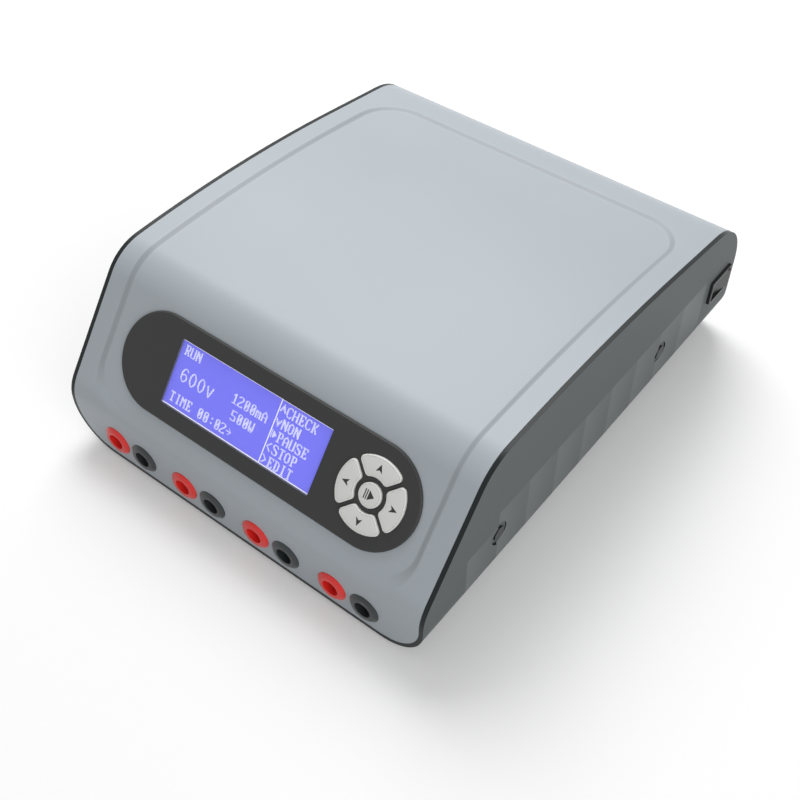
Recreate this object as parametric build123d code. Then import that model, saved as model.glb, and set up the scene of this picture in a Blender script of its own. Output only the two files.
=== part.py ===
from build123d import *
from math import asin, cos, radians, sin, sqrt, tan
import os

# Bench power supply for gel electrophoresis. Millimetres, +Z up, the front faces -Y.
# The origin lies under the middle of the case, on the surface that the feet stand on.

# Case
width = 250.0
depth = 312.0
tub_wall = 2.5
cover_wall = 3.0
tub_corner_radius = 27.0
shell_gap = 0.15
foot_height = 2.5

# Side outline of the case: heights from its underside, setbacks from its front face
front_corner_height = 38.1
slope_lean = 37.8
front_bend_radius = 25.0
top_bend_radius = 30.0
crown_height = 106.3
crown_setback = 97.0
crown_radius = 1000.0
crown_end_setback = 228.0

# Sunken field in the cover
field_depth = 1.2
field_side_margin = 16.0
field_rear_margin = 44.0
field_front_drop = 39.6
field_corner_radius = 25.0

# Oval control panel on the slope, from the corner of the front and slope lines
panel_rise = 41.2
panel_centre_x = 1.5
panel_side_margin = 9.0
panel_height = 56.0
panel_thickness = 1.6
panel_bevel = 0.7
panel_ledge = 4.0

# Display
screen_end_margin = 36.1
screen_key_gap = 12.0
screen_height = 37.4
window_recess = 0.3
window_thickness = 1.3
window_gap = 0.1
display_frame_margin = 6.0
display_frame_thickness = 6.0
display_glass_thickness = 2.5

# Keys
keypad_radius = 20.1
sector_inner_radius = 9.3
sector_gap = 2.3
centre_key_radius = 6.5
key_proud = 1.5
key_travel = 0.8
key_clearance = 0.35
key_flange_width = 0.45
key_flange_thickness = 0.9
key_corner_radius = 2.4
key_edge_chamfer = 0.6
key_seat_gap = 0.3
mat_base_thickness = 1.2
plunger_radius = 1.8
plunger_gap = 0.16

# Circuit boards
board_thickness = 1.6
control_board_end_gap = 6.0
control_board_height = 54.0
control_board_shift = 1.5
control_post_radius = 3.2

# Output sockets
socket_height = 15.8
socket_pairs = 4
socket_pair_side_margin = 46.1
socket_pair_centre_x = -1.3
socket_pair_spacing = 21.2
socket_collar_radius = 9.2
socket_face_radius = 7.4
socket_collar_proud = 1.7
socket_collar_lip = 0.4
socket_bore_radius = 4.95
socket_bore_depth = 20.0
socket_neck_radius = 6.6
socket_body_length = 24.0
nut_across_flats = 17.0
nut_thickness = 3.0
contact_radius = 2.9
contact_bore_radius = 2.0
contact_tip_depth = 9.0
contact_tail_radius = 1.0
contact_tail_length = 3.6
output_board_side_margin = 25.0
output_board_height = 18.0

# Side louvres and side screws
louvre_count = 9
louvre_pitch = 26.6
louvre_first_setback = 34.5
louvre_depth = 1.4
louvre_top_height = 60.0
louvre_first_top_height = 49.0
louvre_slot_width = 1.6
louvre_slot_low = 26.0
louvre_slot_high = 56.0
louvre_first_slot_high = 45.0
side_screw_setbacks = (63.5, 225.0)
side_screw_height = 41.0
side_screw_recess_radius = 6.8
side_screw_recess_depth = 1.5
side_screw_head_radius = 4.2
side_screw_head_height = 1.2
side_screw_shank_radius = 1.5
side_screw_length = 8.0
cover_leg_width = 16.0
cover_leg_thickness = 4.0
cover_leg_drop = 9.0
cover_skirt_height = 62.0

# Mains rocker switch in the right wall
switch_rear_margin = 19.2
switch_height = 46.2
switch_bezel_length = 24.3
switch_bezel_height = 17.1
switch_bezel_proud = 2.0
switch_bezel_corner_radius = 1.5
switch_window_length = 21.4
switch_window_height = 13.8
switch_body_depth = 18.0
switch_body_wall = 0.8
rocker_radius = 10.3
rocker_thickness = 13.0
rocker_pivot_inset = 2.0
rocker_tilt = 13.0
rocker_face_height = 2.5
rocker_cap_thickness = 0.8
rocker_root_depth = 5.0
rocker_pin_radius = 1.5
rocker_pin_gap = 0.05
rocker_pin_reach = 1.1
spade_width = 4.8
spade_thickness = 0.8
spade_length = 8.0

# Rear panel
rear_panel_thickness = 2.0
rear_panel_inset = 5.0
cover_rear_edge_gap = 1.5
cover_rear_edge_rise = 2.5
rear_panel_tuck = 2.5
rear_block_length = 9.0
rear_block_width = 9.0
rear_block_height = 14.0
rear_block_side_margin = 32.5
rear_screw_end_gap = 1.0

# Fan
fan_side = 50.0
fan_depth = 15.0
fan_side_margin = 77.0
fan_centre_height = 29.0
fan_bore_radius = 23.5
fan_corner_radius = 3.0
fan_screw_spacing = 40.0
fan_hub_radius = 12.0
fan_blade_count = 7
fan_blade_tip_gap = 0.9
fan_blade_angle = 40.0
fan_blade_thickness = 1.2
fan_blade_end_gap = 0.2
fan_shaft_radius = 1.5
fan_shaft_gap = 0.05
fan_strut_width = 4.0
fan_strut_thickness = 2.5
fan_end_gap = 0.8
guard_wire_width = 1.6
guard_thickness = 1.8
guard_rings = 3
guard_ring_pitch = 7.4
guard_inner_radius = 6.0
fan_screw_head_height = 1.0

# Mains inlet with a fuse drawer
inlet_side_margin = 63.0
inlet_centre_height = 29.0
inlet_flange_width = 31.0
inlet_flange_height = 47.0
inlet_flange_thickness = 2.6
inlet_flange_corner_radius = 3.0
inlet_body_width = 27.0
inlet_body_height = 43.0
inlet_body_depth = 24.0
inlet_cavity_width = 24.4
inlet_cavity_height = 16.8
inlet_cavity_depth = 17.5
inlet_cavity_shift = 10.6
inlet_corner_cut = 4.5
inlet_pin_width = 4.0
inlet_pin_thickness = 2.0
inlet_pin_length = 12.0
inlet_pin_spacing = 7.0
inlet_pin_rise = 2.0
inlet_pin_tail = 7.0
drawer_width = 20.0
drawer_height = 11.0
drawer_depth = 22.0
drawer_shift = -12.6
drawer_gap = 0.3
drawer_lip_proud = 1.0
drawer_corner_radius = 1.0
fuse_radius = 2.5
fuse_length = 18.0
fuse_spacing = 9.0

# Power board and what stands on it
board_standoff_height = 8.0
power_board_side_margin = 27.0
power_board_front_margin = 58.0
power_board_rear_margin = 40.0
board_post_radius = 4.0
board_screw_radius = 1.5
board_screw_head_radius = 3.0
board_screw_head_height = 1.8
heatsink_length = 120.0
heatsink_height = 46.0
heatsink_base = 4.0
heatsink_fin_length = 14.0
heatsink_fin_thickness = 1.6
heatsink_fins = 6
heatsink_edge_gap = 28.0
heatsink_front_gap = 27.0
transistor_width = 15.6
transistor_height = 20.0
transistor_thickness = 5.0
transistor_pitch = 26.0
transistor_count = 4
core_width = 50.0
core_length = 46.0
core_height = 44.0
core_leg = 12.0
core_yoke = 7.2
core_thickness = 20.0
winding_corner_radius = 4.0
core_x = -40.0
core_front_gap = 60.0
capacitor_radius = 15.0
capacitor_height = 42.0
capacitor_pitch = 34.0
capacitor_count = 3
capacitor_chamfer = 1.2
capacitor_edge_gap = 13.0
capacitor_fan_gap = 22.0
choke_radius = 19.0
choke_hole_radius = 7.0
choke_height = 12.0
choke_chamfer = 3.0
choke_x = 0.0
choke_rear_gap = 37.0

# Feet
foot_radius = 9.0
foot_recess = 1.2
foot_taper = 1.0
foot_side_margin = 38.0
foot_end_margin = 42.0
foot_screw_radius = 1.6
foot_screw_head_radius = 3.4
foot_screw_head_height = 1.8
foot_screw_sink = 0.5
foot_boss_radius = 4.5
foot_boss_height = 6.0

front_y = -depth / 2
rear_y = depth / 2
base_z = foot_height
wall_x = width / 2
inner_x = wall_x - tub_wall
floor_z = base_z + tub_wall
lean = radians(slope_lean)
slope_dir = Vector(0, sin(lean), cos(lean))
slope_normal = Vector(0, -cos(lean), sin(lean))
slope_corner = Vector(0, front_y, base_z + front_corner_height)
slope = Plane(origin=slope_corner + slope_dir * panel_rise, x_dir=(1, 0, 0), z_dir=slope_normal)
front_bend_start_z = slope_corner.Z - front_bend_radius * tan(lean / 2)

# The crown's arc ends at a slant and goes on straight to the corner above the rear wall
crown_y = front_y + crown_setback
crown_z = base_z + crown_height
crown_end_angle = asin((crown_end_setback - crown_setback) / crown_radius)
crown_end_y = front_y + crown_end_setback
crown_end_z = crown_z - crown_radius * (1 - cos(crown_end_angle))
rear_corner_z = crown_end_z - (rear_y - crown_end_y) * tan(crown_end_angle)
cover_rear_edge_z = base_z + inlet_centre_height + inlet_flange_height / 2 + cover_rear_edge_gap
rear_bend_end_z = cover_rear_edge_z - cover_rear_edge_rise
rear_bend_radius = (rear_corner_z - rear_bend_end_z) / tan((radians(90) - crown_end_angle) / 2)

# Levels along the slope's normal: 0 is the outer surface of the cover's border
panel_seat = -field_depth
panel_top = panel_seat + panel_thickness
window_top = panel_top - window_recess
cover_inside = -cover_wall
control_board_top = cover_inside - display_frame_thickness
key_top = panel_top + key_proud
key_flange_top = cover_inside - key_seat_gap
key_bottom = key_flange_top - key_flange_thickness
plunger_top = key_bottom - key_travel - plunger_gap

field_half_width = wall_x - field_side_margin
panel_length = 2 * (field_half_width - panel_side_margin)
keypad_centre_x = panel_centre_x + panel_length / 2 - panel_height / 2
screen_left = panel_centre_x - panel_length / 2 + screen_end_margin
screen_right = keypad_centre_x - keypad_radius - screen_key_gap
screen_width = screen_right - screen_left
screen_centre_x = (screen_left + screen_right) / 2
control_board_length = panel_length - 2 * control_board_end_gap
control_board_centre_x = panel_centre_x + control_board_shift
socket_z = base_z + socket_height
socket_pair_pitch = (width - 2 * socket_pair_side_margin) / (socket_pairs - 1)
first_pair_x = socket_pair_centre_x - (socket_pairs - 1) / 2 * socket_pair_pitch
pair_xs = [first_pair_x + i * socket_pair_pitch for i in range(socket_pairs)]
red_xs = [x - socket_pair_spacing / 2 for x in pair_xs]
black_xs = [x + socket_pair_spacing / 2 for x in pair_xs]
louvre_lines = [front_y + louvre_first_setback + louvre_pitch * i for i in range(louvre_count)]
side_screw_spots = [(front_y + setback, base_z + side_screw_height) for setback in side_screw_setbacks]
foot_x = wall_x - foot_side_margin
foot_y = rear_y - foot_end_margin
foot_spots = [(a * foot_x, b * foot_y) for a in (-1, 1) for b in (-1, 1)]
foot_screw_top = floor_z + foot_boss_height / 2

rear_panel_back = rear_y - rear_panel_inset
rear_panel_front = rear_panel_back - rear_panel_thickness
rear_block_x = wall_x - rear_block_side_margin
rear_screw_spots = [(a * rear_block_x, floor_z + rear_block_height / 2) for a in (-1, 1)]
fan_centre_x = fan_side_margin - wall_x
fan_z = base_z + fan_centre_height
fan_front = rear_panel_front - fan_depth
fan_screw_reach = fan_screw_spacing / 2
fan_screw_offsets = [(a * fan_screw_reach, b * fan_screw_reach) for a in (-1, 1) for b in (-1, 1)]
inlet_centre_x = wall_x - inlet_side_margin
inlet_z = base_z + inlet_centre_height
inlet_face_y = rear_panel_back + inlet_flange_thickness
drawer_z = inlet_z + drawer_shift
cavity_z = inlet_z + inlet_cavity_shift
switch_y = rear_y - switch_rear_margin
switch_z = base_z + switch_height
rocker_x = wall_x - rocker_pivot_inset

power_board_bottom = floor_z + board_standoff_height
power_board_top = power_board_bottom + board_thickness
power_board_width = width - 2 * power_board_side_margin
power_board_length = depth - power_board_front_margin - power_board_rear_margin
power_board_front_y = front_y + power_board_front_margin
power_board_rear_y = rear_y - power_board_rear_margin
power_board_y = (power_board_front_y + power_board_rear_y) / 2
heatsink_x = power_board_width / 2 - heatsink_edge_gap - heatsink_fin_length - heatsink_base
heatsink_y = power_board_front_y + heatsink_front_gap + heatsink_length / 2
core_y = power_board_front_y + core_front_gap
capacitor_x = capacitor_edge_gap + capacitor_radius - power_board_width / 2
last_capacitor_y = fan_front - capacitor_fan_gap - capacitor_radius
choke_y = power_board_rear_y - choke_rear_gap
post_reach_x = power_board_width / 2 - 2 * board_post_radius
post_reach_y = power_board_length / 2 - 2 * board_post_radius
board_post_spots = [
    (a * post_reach_x, power_board_y + b * post_reach_y) for a in (-1, 1) for b in (-1, 0, 1)
]
control_reach_x = control_board_length / 2 - control_post_radius
control_reach_y = control_board_height / 2 - control_post_radius
control_post_spots = [
    (control_board_centre_x + a * control_reach_x, b * control_reach_y) for a in (-1, 1) for b in (-1, 1)
]


def along_x(sketch, x_from, x_to):
    """Extrude a sketch drawn in the YZ plane between two X values."""
    low, high = sorted((x_from, x_to))
    return extrude(Plane((low, 0, 0), x_dir=(0, 1, 0), z_dir=(1, 0, 0)) * sketch, amount=high - low)


def along_y(sketch, y_from, y_to):
    """Extrude a sketch drawn in the XZ plane between two Y values."""
    low, high = sorted((y_from, y_to))
    return extrude(Plane((0, high, 0), x_dir=(1, 0, 0), z_dir=(0, -1, 0)) * sketch, amount=high - low)


def along_z(sketch, z_from, z_to):
    """Extrude a sketch drawn in the XY plane between two Z values."""
    low, high = sorted((z_from, z_to))
    return extrude(Plane((0, 0, low)) * sketch, amount=high - low)


def on_slope(sketch, level_from, level_to):
    """Extrude a sketch drawn on the slope between two levels of its normal."""
    low, high = sorted((level_from, level_to))
    return extrude(slope.offset(low) * sketch, amount=high - low)


def block(x_from, x_to, y_from, y_to, z_from, z_to):
    """A box between two corners."""
    centre = ((x_from + x_to) / 2, (y_from + y_to) / 2, (z_from + z_to) / 2)
    return Pos(*centre) * Box(x_to - x_from, y_to - y_from, z_to - z_from)


def disc(across, up, radius):
    """A circle at a place of a sketch."""
    return Pos(across, up) * Circle(radius)


def oblong(across, up, wide, high):
    """A rectangle about a place of a sketch."""
    return Pos(across, up) * Rectangle(wide, high)


def band(middle_radius, breadth):
    """A flat ring about the middle of a sketch."""
    return Circle(middle_radius + breadth / 2) - Circle(middle_radius - breadth / 2)


def outer_face(shape):
    """The face of a shape that lies furthest out of the slope."""
    return shape.faces().sort_by(Axis(slope.origin, slope_normal))[-1]


def joined(solids):
    """One shape from many separate solids."""
    return Compound(children=[solid for shape in solids for solid in shape.solids()])


def case_outline():
    """Side outline of the case in the YZ plane, from the front wall over the crown to the rear wall."""
    corner = (front_y, slope_corner.Z)
    # The slope's line meets the crown's circle at this distance from the corner
    to_y = corner[0] - crown_y
    to_z = corner[1] - (crown_z - crown_radius)
    half = to_y * sin(lean) + to_z * cos(lean)
    run = sqrt(half ** 2 + crown_radius ** 2 - to_y ** 2 - to_z ** 2) - half
    brow = (corner[0] + run * sin(lean), corner[1] + run * cos(lean))
    rear_top = (rear_y, rear_corner_z)
    edges = [
        Line((front_y, base_z), corner),
        Line(corner, brow),
        ThreePointArc(brow, (crown_y, crown_z), (crown_end_y, crown_end_z)),
        Line((crown_end_y, crown_end_z), rear_top),
        Line(rear_top, (rear_y, base_z)),
        Line((rear_y, base_z), (front_y, base_z)),
    ]
    outline = make_face(edges)
    bends = ((corner, front_bend_radius), (brow, top_bend_radius), (rear_top, rear_bend_radius))
    for point, radius in bends:
        outline = fillet(outline.vertices().sort_by_distance((point[0], point[1], 0))[0], radius)
    return outline


def tub_section(inset):
    """Front view of the tub with its rounded lower edges, moved inwards by the inset."""
    low = base_z + inset
    high = base_z + crown_height + cover_wall
    section = oblong(0, (low + high) / 2, 2 * (wall_x - inset), high - low)
    return fillet(section.vertices().sort_by(Axis.Y)[:2], tub_corner_radius - inset)


def stadium(length, height):
    """Oval with straight long sides and round ends."""
    return SlotOverall(length, height)


outline = case_outline()
outline_inside = offset(outline, amount=-cover_wall)


def make_tub():
    """Dark tub: floor and two louvred side walls whose upper edges follow the case's outline."""
    shell = along_y(tub_section(0) - tub_section(tub_wall), front_y, rear_y)
    tub = shell & along_x(outline, -wall_x, wall_x)
    for i, line_y in enumerate(louvre_lines):
        top = louvre_first_top_height if i == 0 else louvre_top_height
        slot_top = louvre_first_slot_high if i == 0 else louvre_slot_high
        plan = Polygon(
            (wall_x - louvre_depth, line_y),
            (wall_x + louvre_depth, line_y),
            (wall_x + louvre_depth, line_y + louvre_pitch),
            (wall_x, line_y + louvre_pitch),
            align=None,
        )
        wedge = along_z(plan, base_z, base_z + top)
        tub = tub - wedge - mirror(wedge, Plane.YZ)
        slot_low = base_z + louvre_slot_low
        tub -= block(-width, width, line_y, line_y + louvre_slot_width, slot_low, base_z + slot_top)
    for spot_y, spot_z in side_screw_spots:
        for side in (-1, 1):
            recess = disc(spot_y, spot_z, side_screw_recess_radius)
            tub -= along_x(recess, side * wall_x, side * inner_x)
            seat = recess - disc(spot_y, spot_z, side_screw_shank_radius + shell_gap)
            tub += along_x(seat, side * inner_x, side * (wall_x - side_screw_recess_depth))
    root_z = floor_z - tub_wall / 2
    for x, y in board_post_spots:
        tub += along_z(disc(x, y, board_post_radius), root_z, power_board_bottom)
        tub -= along_z(disc(x, y, board_screw_radius), floor_z, power_board_bottom)
    for x, y in foot_spots:
        tub += along_z(disc(x, y, foot_boss_radius), root_z, floor_z + foot_boss_height)
        tub -= along_z(disc(x, y, foot_radius), base_z, base_z + foot_recess)
        tub -= along_z(disc(x, y, foot_screw_radius), base_z, foot_screw_top)
    for x, z in rear_screw_spots:
        near_x = x - rear_block_width / 2
        far_x = x + rear_block_width / 2
        near_y = rear_panel_front - rear_block_length
        tub += block(near_x, far_x, near_y, rear_panel_front, root_z, floor_z + rear_block_height)
        tub -= along_y(disc(x, z, board_screw_radius), near_y, rear_panel_front)
    cut_length = switch_window_length + 2 * (switch_body_wall + shell_gap)
    cut_height = switch_window_height + 2 * (switch_body_wall + shell_gap)
    tub -= along_x(oblong(switch_y, switch_z, cut_length, cut_height), inner_x - tub_wall, width)
    return tub


def field_cutter(inset):
    """Volume of the sunken field: square to the slope in front, upright over the top."""
    half = field_half_width - inset
    lower = -field_front_drop + inset
    upper = panel_height
    front = oblong(0, (lower + upper) / 2, 2 * half, upper - lower)
    front = fillet(front.vertices().sort_by(Axis.Y)[:2], field_corner_radius - inset)
    near = front_y + crown_setback / 2
    far = rear_y - field_rear_margin - inset
    top = oblong(0, (near + far) / 2, 2 * half, far - near)
    top = fillet(top.vertices().sort_by(Axis.Y)[-2:], field_corner_radius - inset)
    high = base_z + crown_height + cover_wall
    front = on_slope(front, -4 * field_depth, 4 * field_depth)
    return front + along_z(top, base_z + cover_skirt_height, high)


def make_cover():
    """Light cover: front bend, slope, crowned top and round rear edge in one sheet, with a sunken field."""
    sheet = outline - outline_inside
    cover = along_x(sheet, -wall_x, wall_x) & along_y(tub_section(tub_wall + shell_gap), front_y, rear_y)
    cover -= block(-width, width, crown_y, depth, 0, cover_rear_edge_z)
    cover -= block(-width, width, -depth, crown_y, 0, front_bend_start_z)
    skirt_x = inner_x - shell_gap
    high = base_z + 2 * crown_height
    for side in (-1, 1):
        skirt = along_x(outline, side * (skirt_x - cover_wall), side * skirt_x)
        cover += skirt & block(-width, width, -width, width, base_z + cover_skirt_height, high)
        leg_top = base_z + cover_skirt_height + cover_wall
        for spot_y, spot_z in side_screw_spots:
            leg_low = spot_z - cover_leg_drop
            leg = oblong(spot_y, (leg_low + leg_top) / 2, cover_leg_width, leg_top - leg_low)
            leg = along_x(leg, skirt_x - cover_leg_thickness, skirt_x)
            leg -= along_x(disc(spot_y, spot_z, side_screw_shank_radius), 0, wall_x)
            cover += leg if side > 0 else mirror(leg, Plane.YZ)
    skin = along_x(outline - offset(outline, amount=-field_depth), -wall_x, wall_x)
    cover -= skin & field_cutter(0)
    opening = stadium(panel_length - 2 * panel_ledge, panel_height - 2 * panel_ledge)
    cover -= on_slope(Pos(panel_centre_x, 0) * opening, 2 * cover_inside, panel_thickness)
    for x, y in control_post_spots:
        post = disc(x, y, control_post_radius)
        cover += on_slope(post, control_board_top, cover_inside + field_depth / 2)
        cover -= on_slope(disc(x, y, board_screw_radius), control_board_top, cover_inside)
    return cover


def make_socket_panel():
    """Flat wall below the cover's front bend, with a hole for each socket."""
    panel = along_y(tub_section(tub_wall + shell_gap), front_y, front_y + cover_wall)
    panel &= block(-width, width, -depth, depth, floor_z + shell_gap, front_bend_start_z)
    for x in red_xs + black_xs:
        hole = disc(x, socket_z, socket_neck_radius + shell_gap)
        panel -= along_y(hole, front_y, front_y + cover_wall)
    return panel


def sector_shape(angle, grow):
    """One of the four keys around the centre key, grown outwards by a margin."""
    ring = Circle(keypad_radius + grow) - Circle(sector_inner_radius - grow)
    half_gap = sector_gap / 2 - grow
    reach = 2 * keypad_radius
    # The sector's straight sides run parallel to the diagonals between the keys
    quarter = Rot(0, 0, 45) * oblong(reach / 2 + half_gap, reach / 2 + half_gap, reach, reach)
    sector = ring & quarter
    sector = fillet(sector.vertices(), key_corner_radius + grow)
    return Pos(keypad_centre_x, 0) * Rot(0, 0, angle - 90) * sector


key_angles = {"key_up": 90, "key_left": 180, "key_down": 270, "key_right": 0}


def key_shape(node, grow):
    """Outline of a key on the slope."""
    if node == "key_centre":
        return disc(keypad_centre_x, 0, centre_key_radius + grow)
    return sector_shape(key_angles[node], grow)


def make_key(node):
    """A key cap with a bevelled top edge and a flange that keeps it behind the panel."""
    cap = on_slope(key_shape(node, 0), key_flange_top, key_top)
    cap = chamfer(outer_face(cap).edges(), key_edge_chamfer)
    flange = on_slope(key_shape(node, key_clearance + key_flange_width), key_bottom, key_flange_top)
    return cap + flange


def make_panel():
    """Oval control panel: a flange on the cover and a body in its opening."""
    outer = Pos(panel_centre_x, 0) * stadium(panel_length, panel_height)
    body_trim = 2 * (panel_ledge + shell_gap)
    body = Pos(panel_centre_x, 0) * stadium(panel_length - body_trim, panel_height - body_trim)
    flange = on_slope(outer, panel_seat, panel_top)
    flange = chamfer(outer_face(flange).edges(), panel_bevel)
    panel = flange + on_slope(body, cover_inside, panel_seat)
    window = oblong(screen_centre_x, 0, screen_width, screen_height)
    panel -= on_slope(window, 2 * cover_inside, 2 * panel_thickness)
    for node in ["key_centre"] + list(key_angles):
        panel -= on_slope(key_shape(node, key_clearance), 2 * cover_inside, 2 * panel_thickness)
    return panel


def make_display():
    """Window, display glass and the frame that holds the glass against the window."""
    trim = 2 * window_gap
    fitted = oblong(screen_centre_x, 0, screen_width - trim, screen_height - trim)
    window_bottom = window_top - window_thickness
    glass_bottom = window_bottom - display_glass_thickness
    window = on_slope(fitted, window_bottom, window_top)
    glass = on_slope(fitted, glass_bottom, window_bottom)
    frame_shape = Rectangle(screen_width + 2 * display_frame_margin, screen_height + display_frame_margin)
    frame = on_slope(Pos(screen_centre_x, 0) * frame_shape, control_board_top, cover_inside)
    pocket = oblong(screen_centre_x, 0, screen_width, screen_height)
    frame -= on_slope(pocket, glass_bottom, cover_inside)
    return window, glass, frame


def make_key_mat():
    """Rubber mat under the keys with one plunger below each key."""
    base = disc(keypad_centre_x, 0, keypad_radius + key_flange_width)
    mat = on_slope(base, control_board_top, control_board_top + mat_base_thickness)
    middle = (keypad_radius + sector_inner_radius) / 2
    spots = [(0, 0)] + [(middle * cos(radians(a)), middle * sin(radians(a))) for a in key_angles.values()]
    for x, y in spots:
        plunger = disc(keypad_centre_x + x, y, plunger_radius)
        mat += on_slope(plunger, control_board_top, plunger_top)
    return mat


def make_control_board():
    """Board behind the panel, held on the cover's four posts by screws."""
    low = control_board_top - board_thickness
    plate = oblong(control_board_centre_x, 0, control_board_length, control_board_height)
    board = on_slope(plate, low, control_board_top)
    screws = []
    for x, y in control_post_spots:
        board -= on_slope(disc(x, y, board_screw_radius), low, control_board_top)
        head = on_slope(disc(x, y, board_screw_head_radius), low - board_screw_head_height, low)
        screws.append(head + on_slope(disc(x, y, board_screw_radius), low, cover_inside))
    return board, joined(screws)


def make_socket(x):
    """Insulated socket: bevelled collar, long neck through the front wall and a deep round bore."""
    low = -socket_collar_proud
    profile = Polygon(
        (socket_bore_radius, low),
        (socket_face_radius, low),
        (socket_collar_radius, -socket_collar_lip),
        (socket_collar_radius, 0),
        (socket_neck_radius, 0),
        (socket_neck_radius, socket_body_length),
        (contact_tail_radius, socket_body_length),
        (contact_tail_radius, socket_bore_depth),
        (socket_bore_radius, socket_bore_depth),
        align=None,
    )
    return Pos(x, front_y, socket_z) * revolve(profile, Axis.Y)


def make_contact(x):
    """Brass contact tube in a socket's bore with a solder tail at its end."""
    profile = Polygon(
        (0, contact_tip_depth + 2 * contact_radius),
        (contact_bore_radius, contact_tip_depth + 2 * contact_radius),
        (contact_bore_radius, contact_tip_depth),
        (contact_radius, contact_tip_depth),
        (contact_radius, socket_bore_depth),
        (contact_tail_radius, socket_bore_depth),
        (contact_tail_radius, socket_body_length + contact_tail_length),
        (0, socket_body_length + contact_tail_length),
        align=None,
    )
    return Pos(x, front_y, socket_z) * revolve(profile, Axis.Y)


def make_socket_nuts():
    """One hexagon nut behind the front wall on each socket."""
    flat = RegularPolygon(nut_across_flats / 2, 6, major_radius=False) - Circle(socket_neck_radius)
    near = front_y + cover_wall
    return joined([along_y(Pos(x, socket_z) * flat, near, near + nut_thickness) for x in red_xs + black_xs])


def make_output_board():
    """Upright board that the socket contacts are soldered into."""
    near = front_y + socket_body_length
    plate = oblong(0, socket_z, width - 2 * output_board_side_margin, output_board_height)
    board = along_y(plate, near, near + board_thickness)
    for x in red_xs + black_xs:
        board -= along_y(disc(x, socket_z, contact_tail_radius), near, near + board_thickness)
    return board


def make_switch():
    """Switch frame in the right wall, the tilted rocker with its face, and the terminals behind."""
    bezel_sketch = RectangleRounded(switch_bezel_length, switch_bezel_height, switch_bezel_corner_radius)
    body_length = switch_window_length + 2 * switch_body_wall
    body_height = switch_window_height + 2 * switch_body_wall
    body_sketch = Rectangle(body_length, body_height)
    window_sketch = Rectangle(switch_window_length, switch_window_height)
    spot = Pos(switch_y, switch_z)
    back_x = wall_x - switch_body_depth
    frame = along_x(spot * bezel_sketch, wall_x, wall_x + switch_bezel_proud)
    rim = frame.faces().sort_by(Axis.X)[-1].edges()
    frame = chamfer(rim, switch_body_wall / 2)
    frame += along_x(spot * body_sketch, back_x, wall_x)
    frame -= along_x(spot * window_sketch, back_x + 2 * switch_body_wall, wall_x + switch_bezel_proud)
    pivot = Pos(rocker_x, switch_y)
    pin_top = rocker_thickness / 2 + rocker_pin_reach
    bearing = pivot * Circle(rocker_pin_radius + rocker_pin_gap)
    frame -= along_z(bearing, switch_z - pin_top - rocker_pin_gap, switch_z + pin_top + rocker_pin_gap)

    # The rocker's section has its face towards +X before the tilt
    face_x = rocker_face_height
    seam_x = face_x - rocker_cap_thickness
    barrel = Circle(rocker_radius)
    root_middle = (seam_x - rocker_root_depth) / 2
    root = oblong(root_middle, 0, seam_x + rocker_root_depth, 4 * rocker_radius)
    cap = oblong((seam_x + face_x) / 2, 0, face_x - seam_x, 4 * rocker_radius)
    turned = pivot * Rot(0, 0, -rocker_tilt)
    low = switch_z - rocker_thickness / 2
    high = switch_z + rocker_thickness / 2
    rocker = along_z(turned * (barrel & root), low, high)
    rocker += along_z(pivot * Circle(rocker_pin_radius), switch_z - pin_top, switch_z + pin_top)
    face = along_z(turned * (barrel & cap), low, high)

    spades = []
    reach = switch_window_length / 2 - spade_width / 2
    for spade_y in (switch_y - reach, switch_y + reach):
        for spade_z in (switch_z - switch_window_height / 4, switch_z + switch_window_height / 4):
            spade = oblong(spade_y, spade_z, spade_thickness, spade_width)
            spades.append(along_x(spade, back_x - spade_length, back_x))
    return frame, rocker, face, joined(spades)


def make_rear_panel():
    """Rear plate with the fan opening, the inlet opening and its screw holes."""
    high = cover_rear_edge_z + rear_panel_tuck
    plate = along_y(tub_section(tub_wall + shell_gap), rear_panel_front, rear_panel_back)
    plate &= block(-width, width, 0, width, 0, high)
    plate -= along_y(disc(fan_centre_x, fan_z, fan_bore_radius), rear_panel_front, rear_panel_back)
    inlet_hole = Rectangle(inlet_body_width + 2 * shell_gap, inlet_body_height + 2 * shell_gap)
    plate -= along_y(Pos(inlet_centre_x, inlet_z) * inlet_hole, rear_panel_front, rear_panel_back)
    spots = rear_screw_spots + [(fan_centre_x + dx, fan_z + dz) for dx, dz in fan_screw_offsets]
    for x, z in spots:
        hole = disc(x, z, board_screw_radius + shell_gap)
        plate -= along_y(hole, rear_panel_front, rear_panel_back)
    return plate


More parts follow.
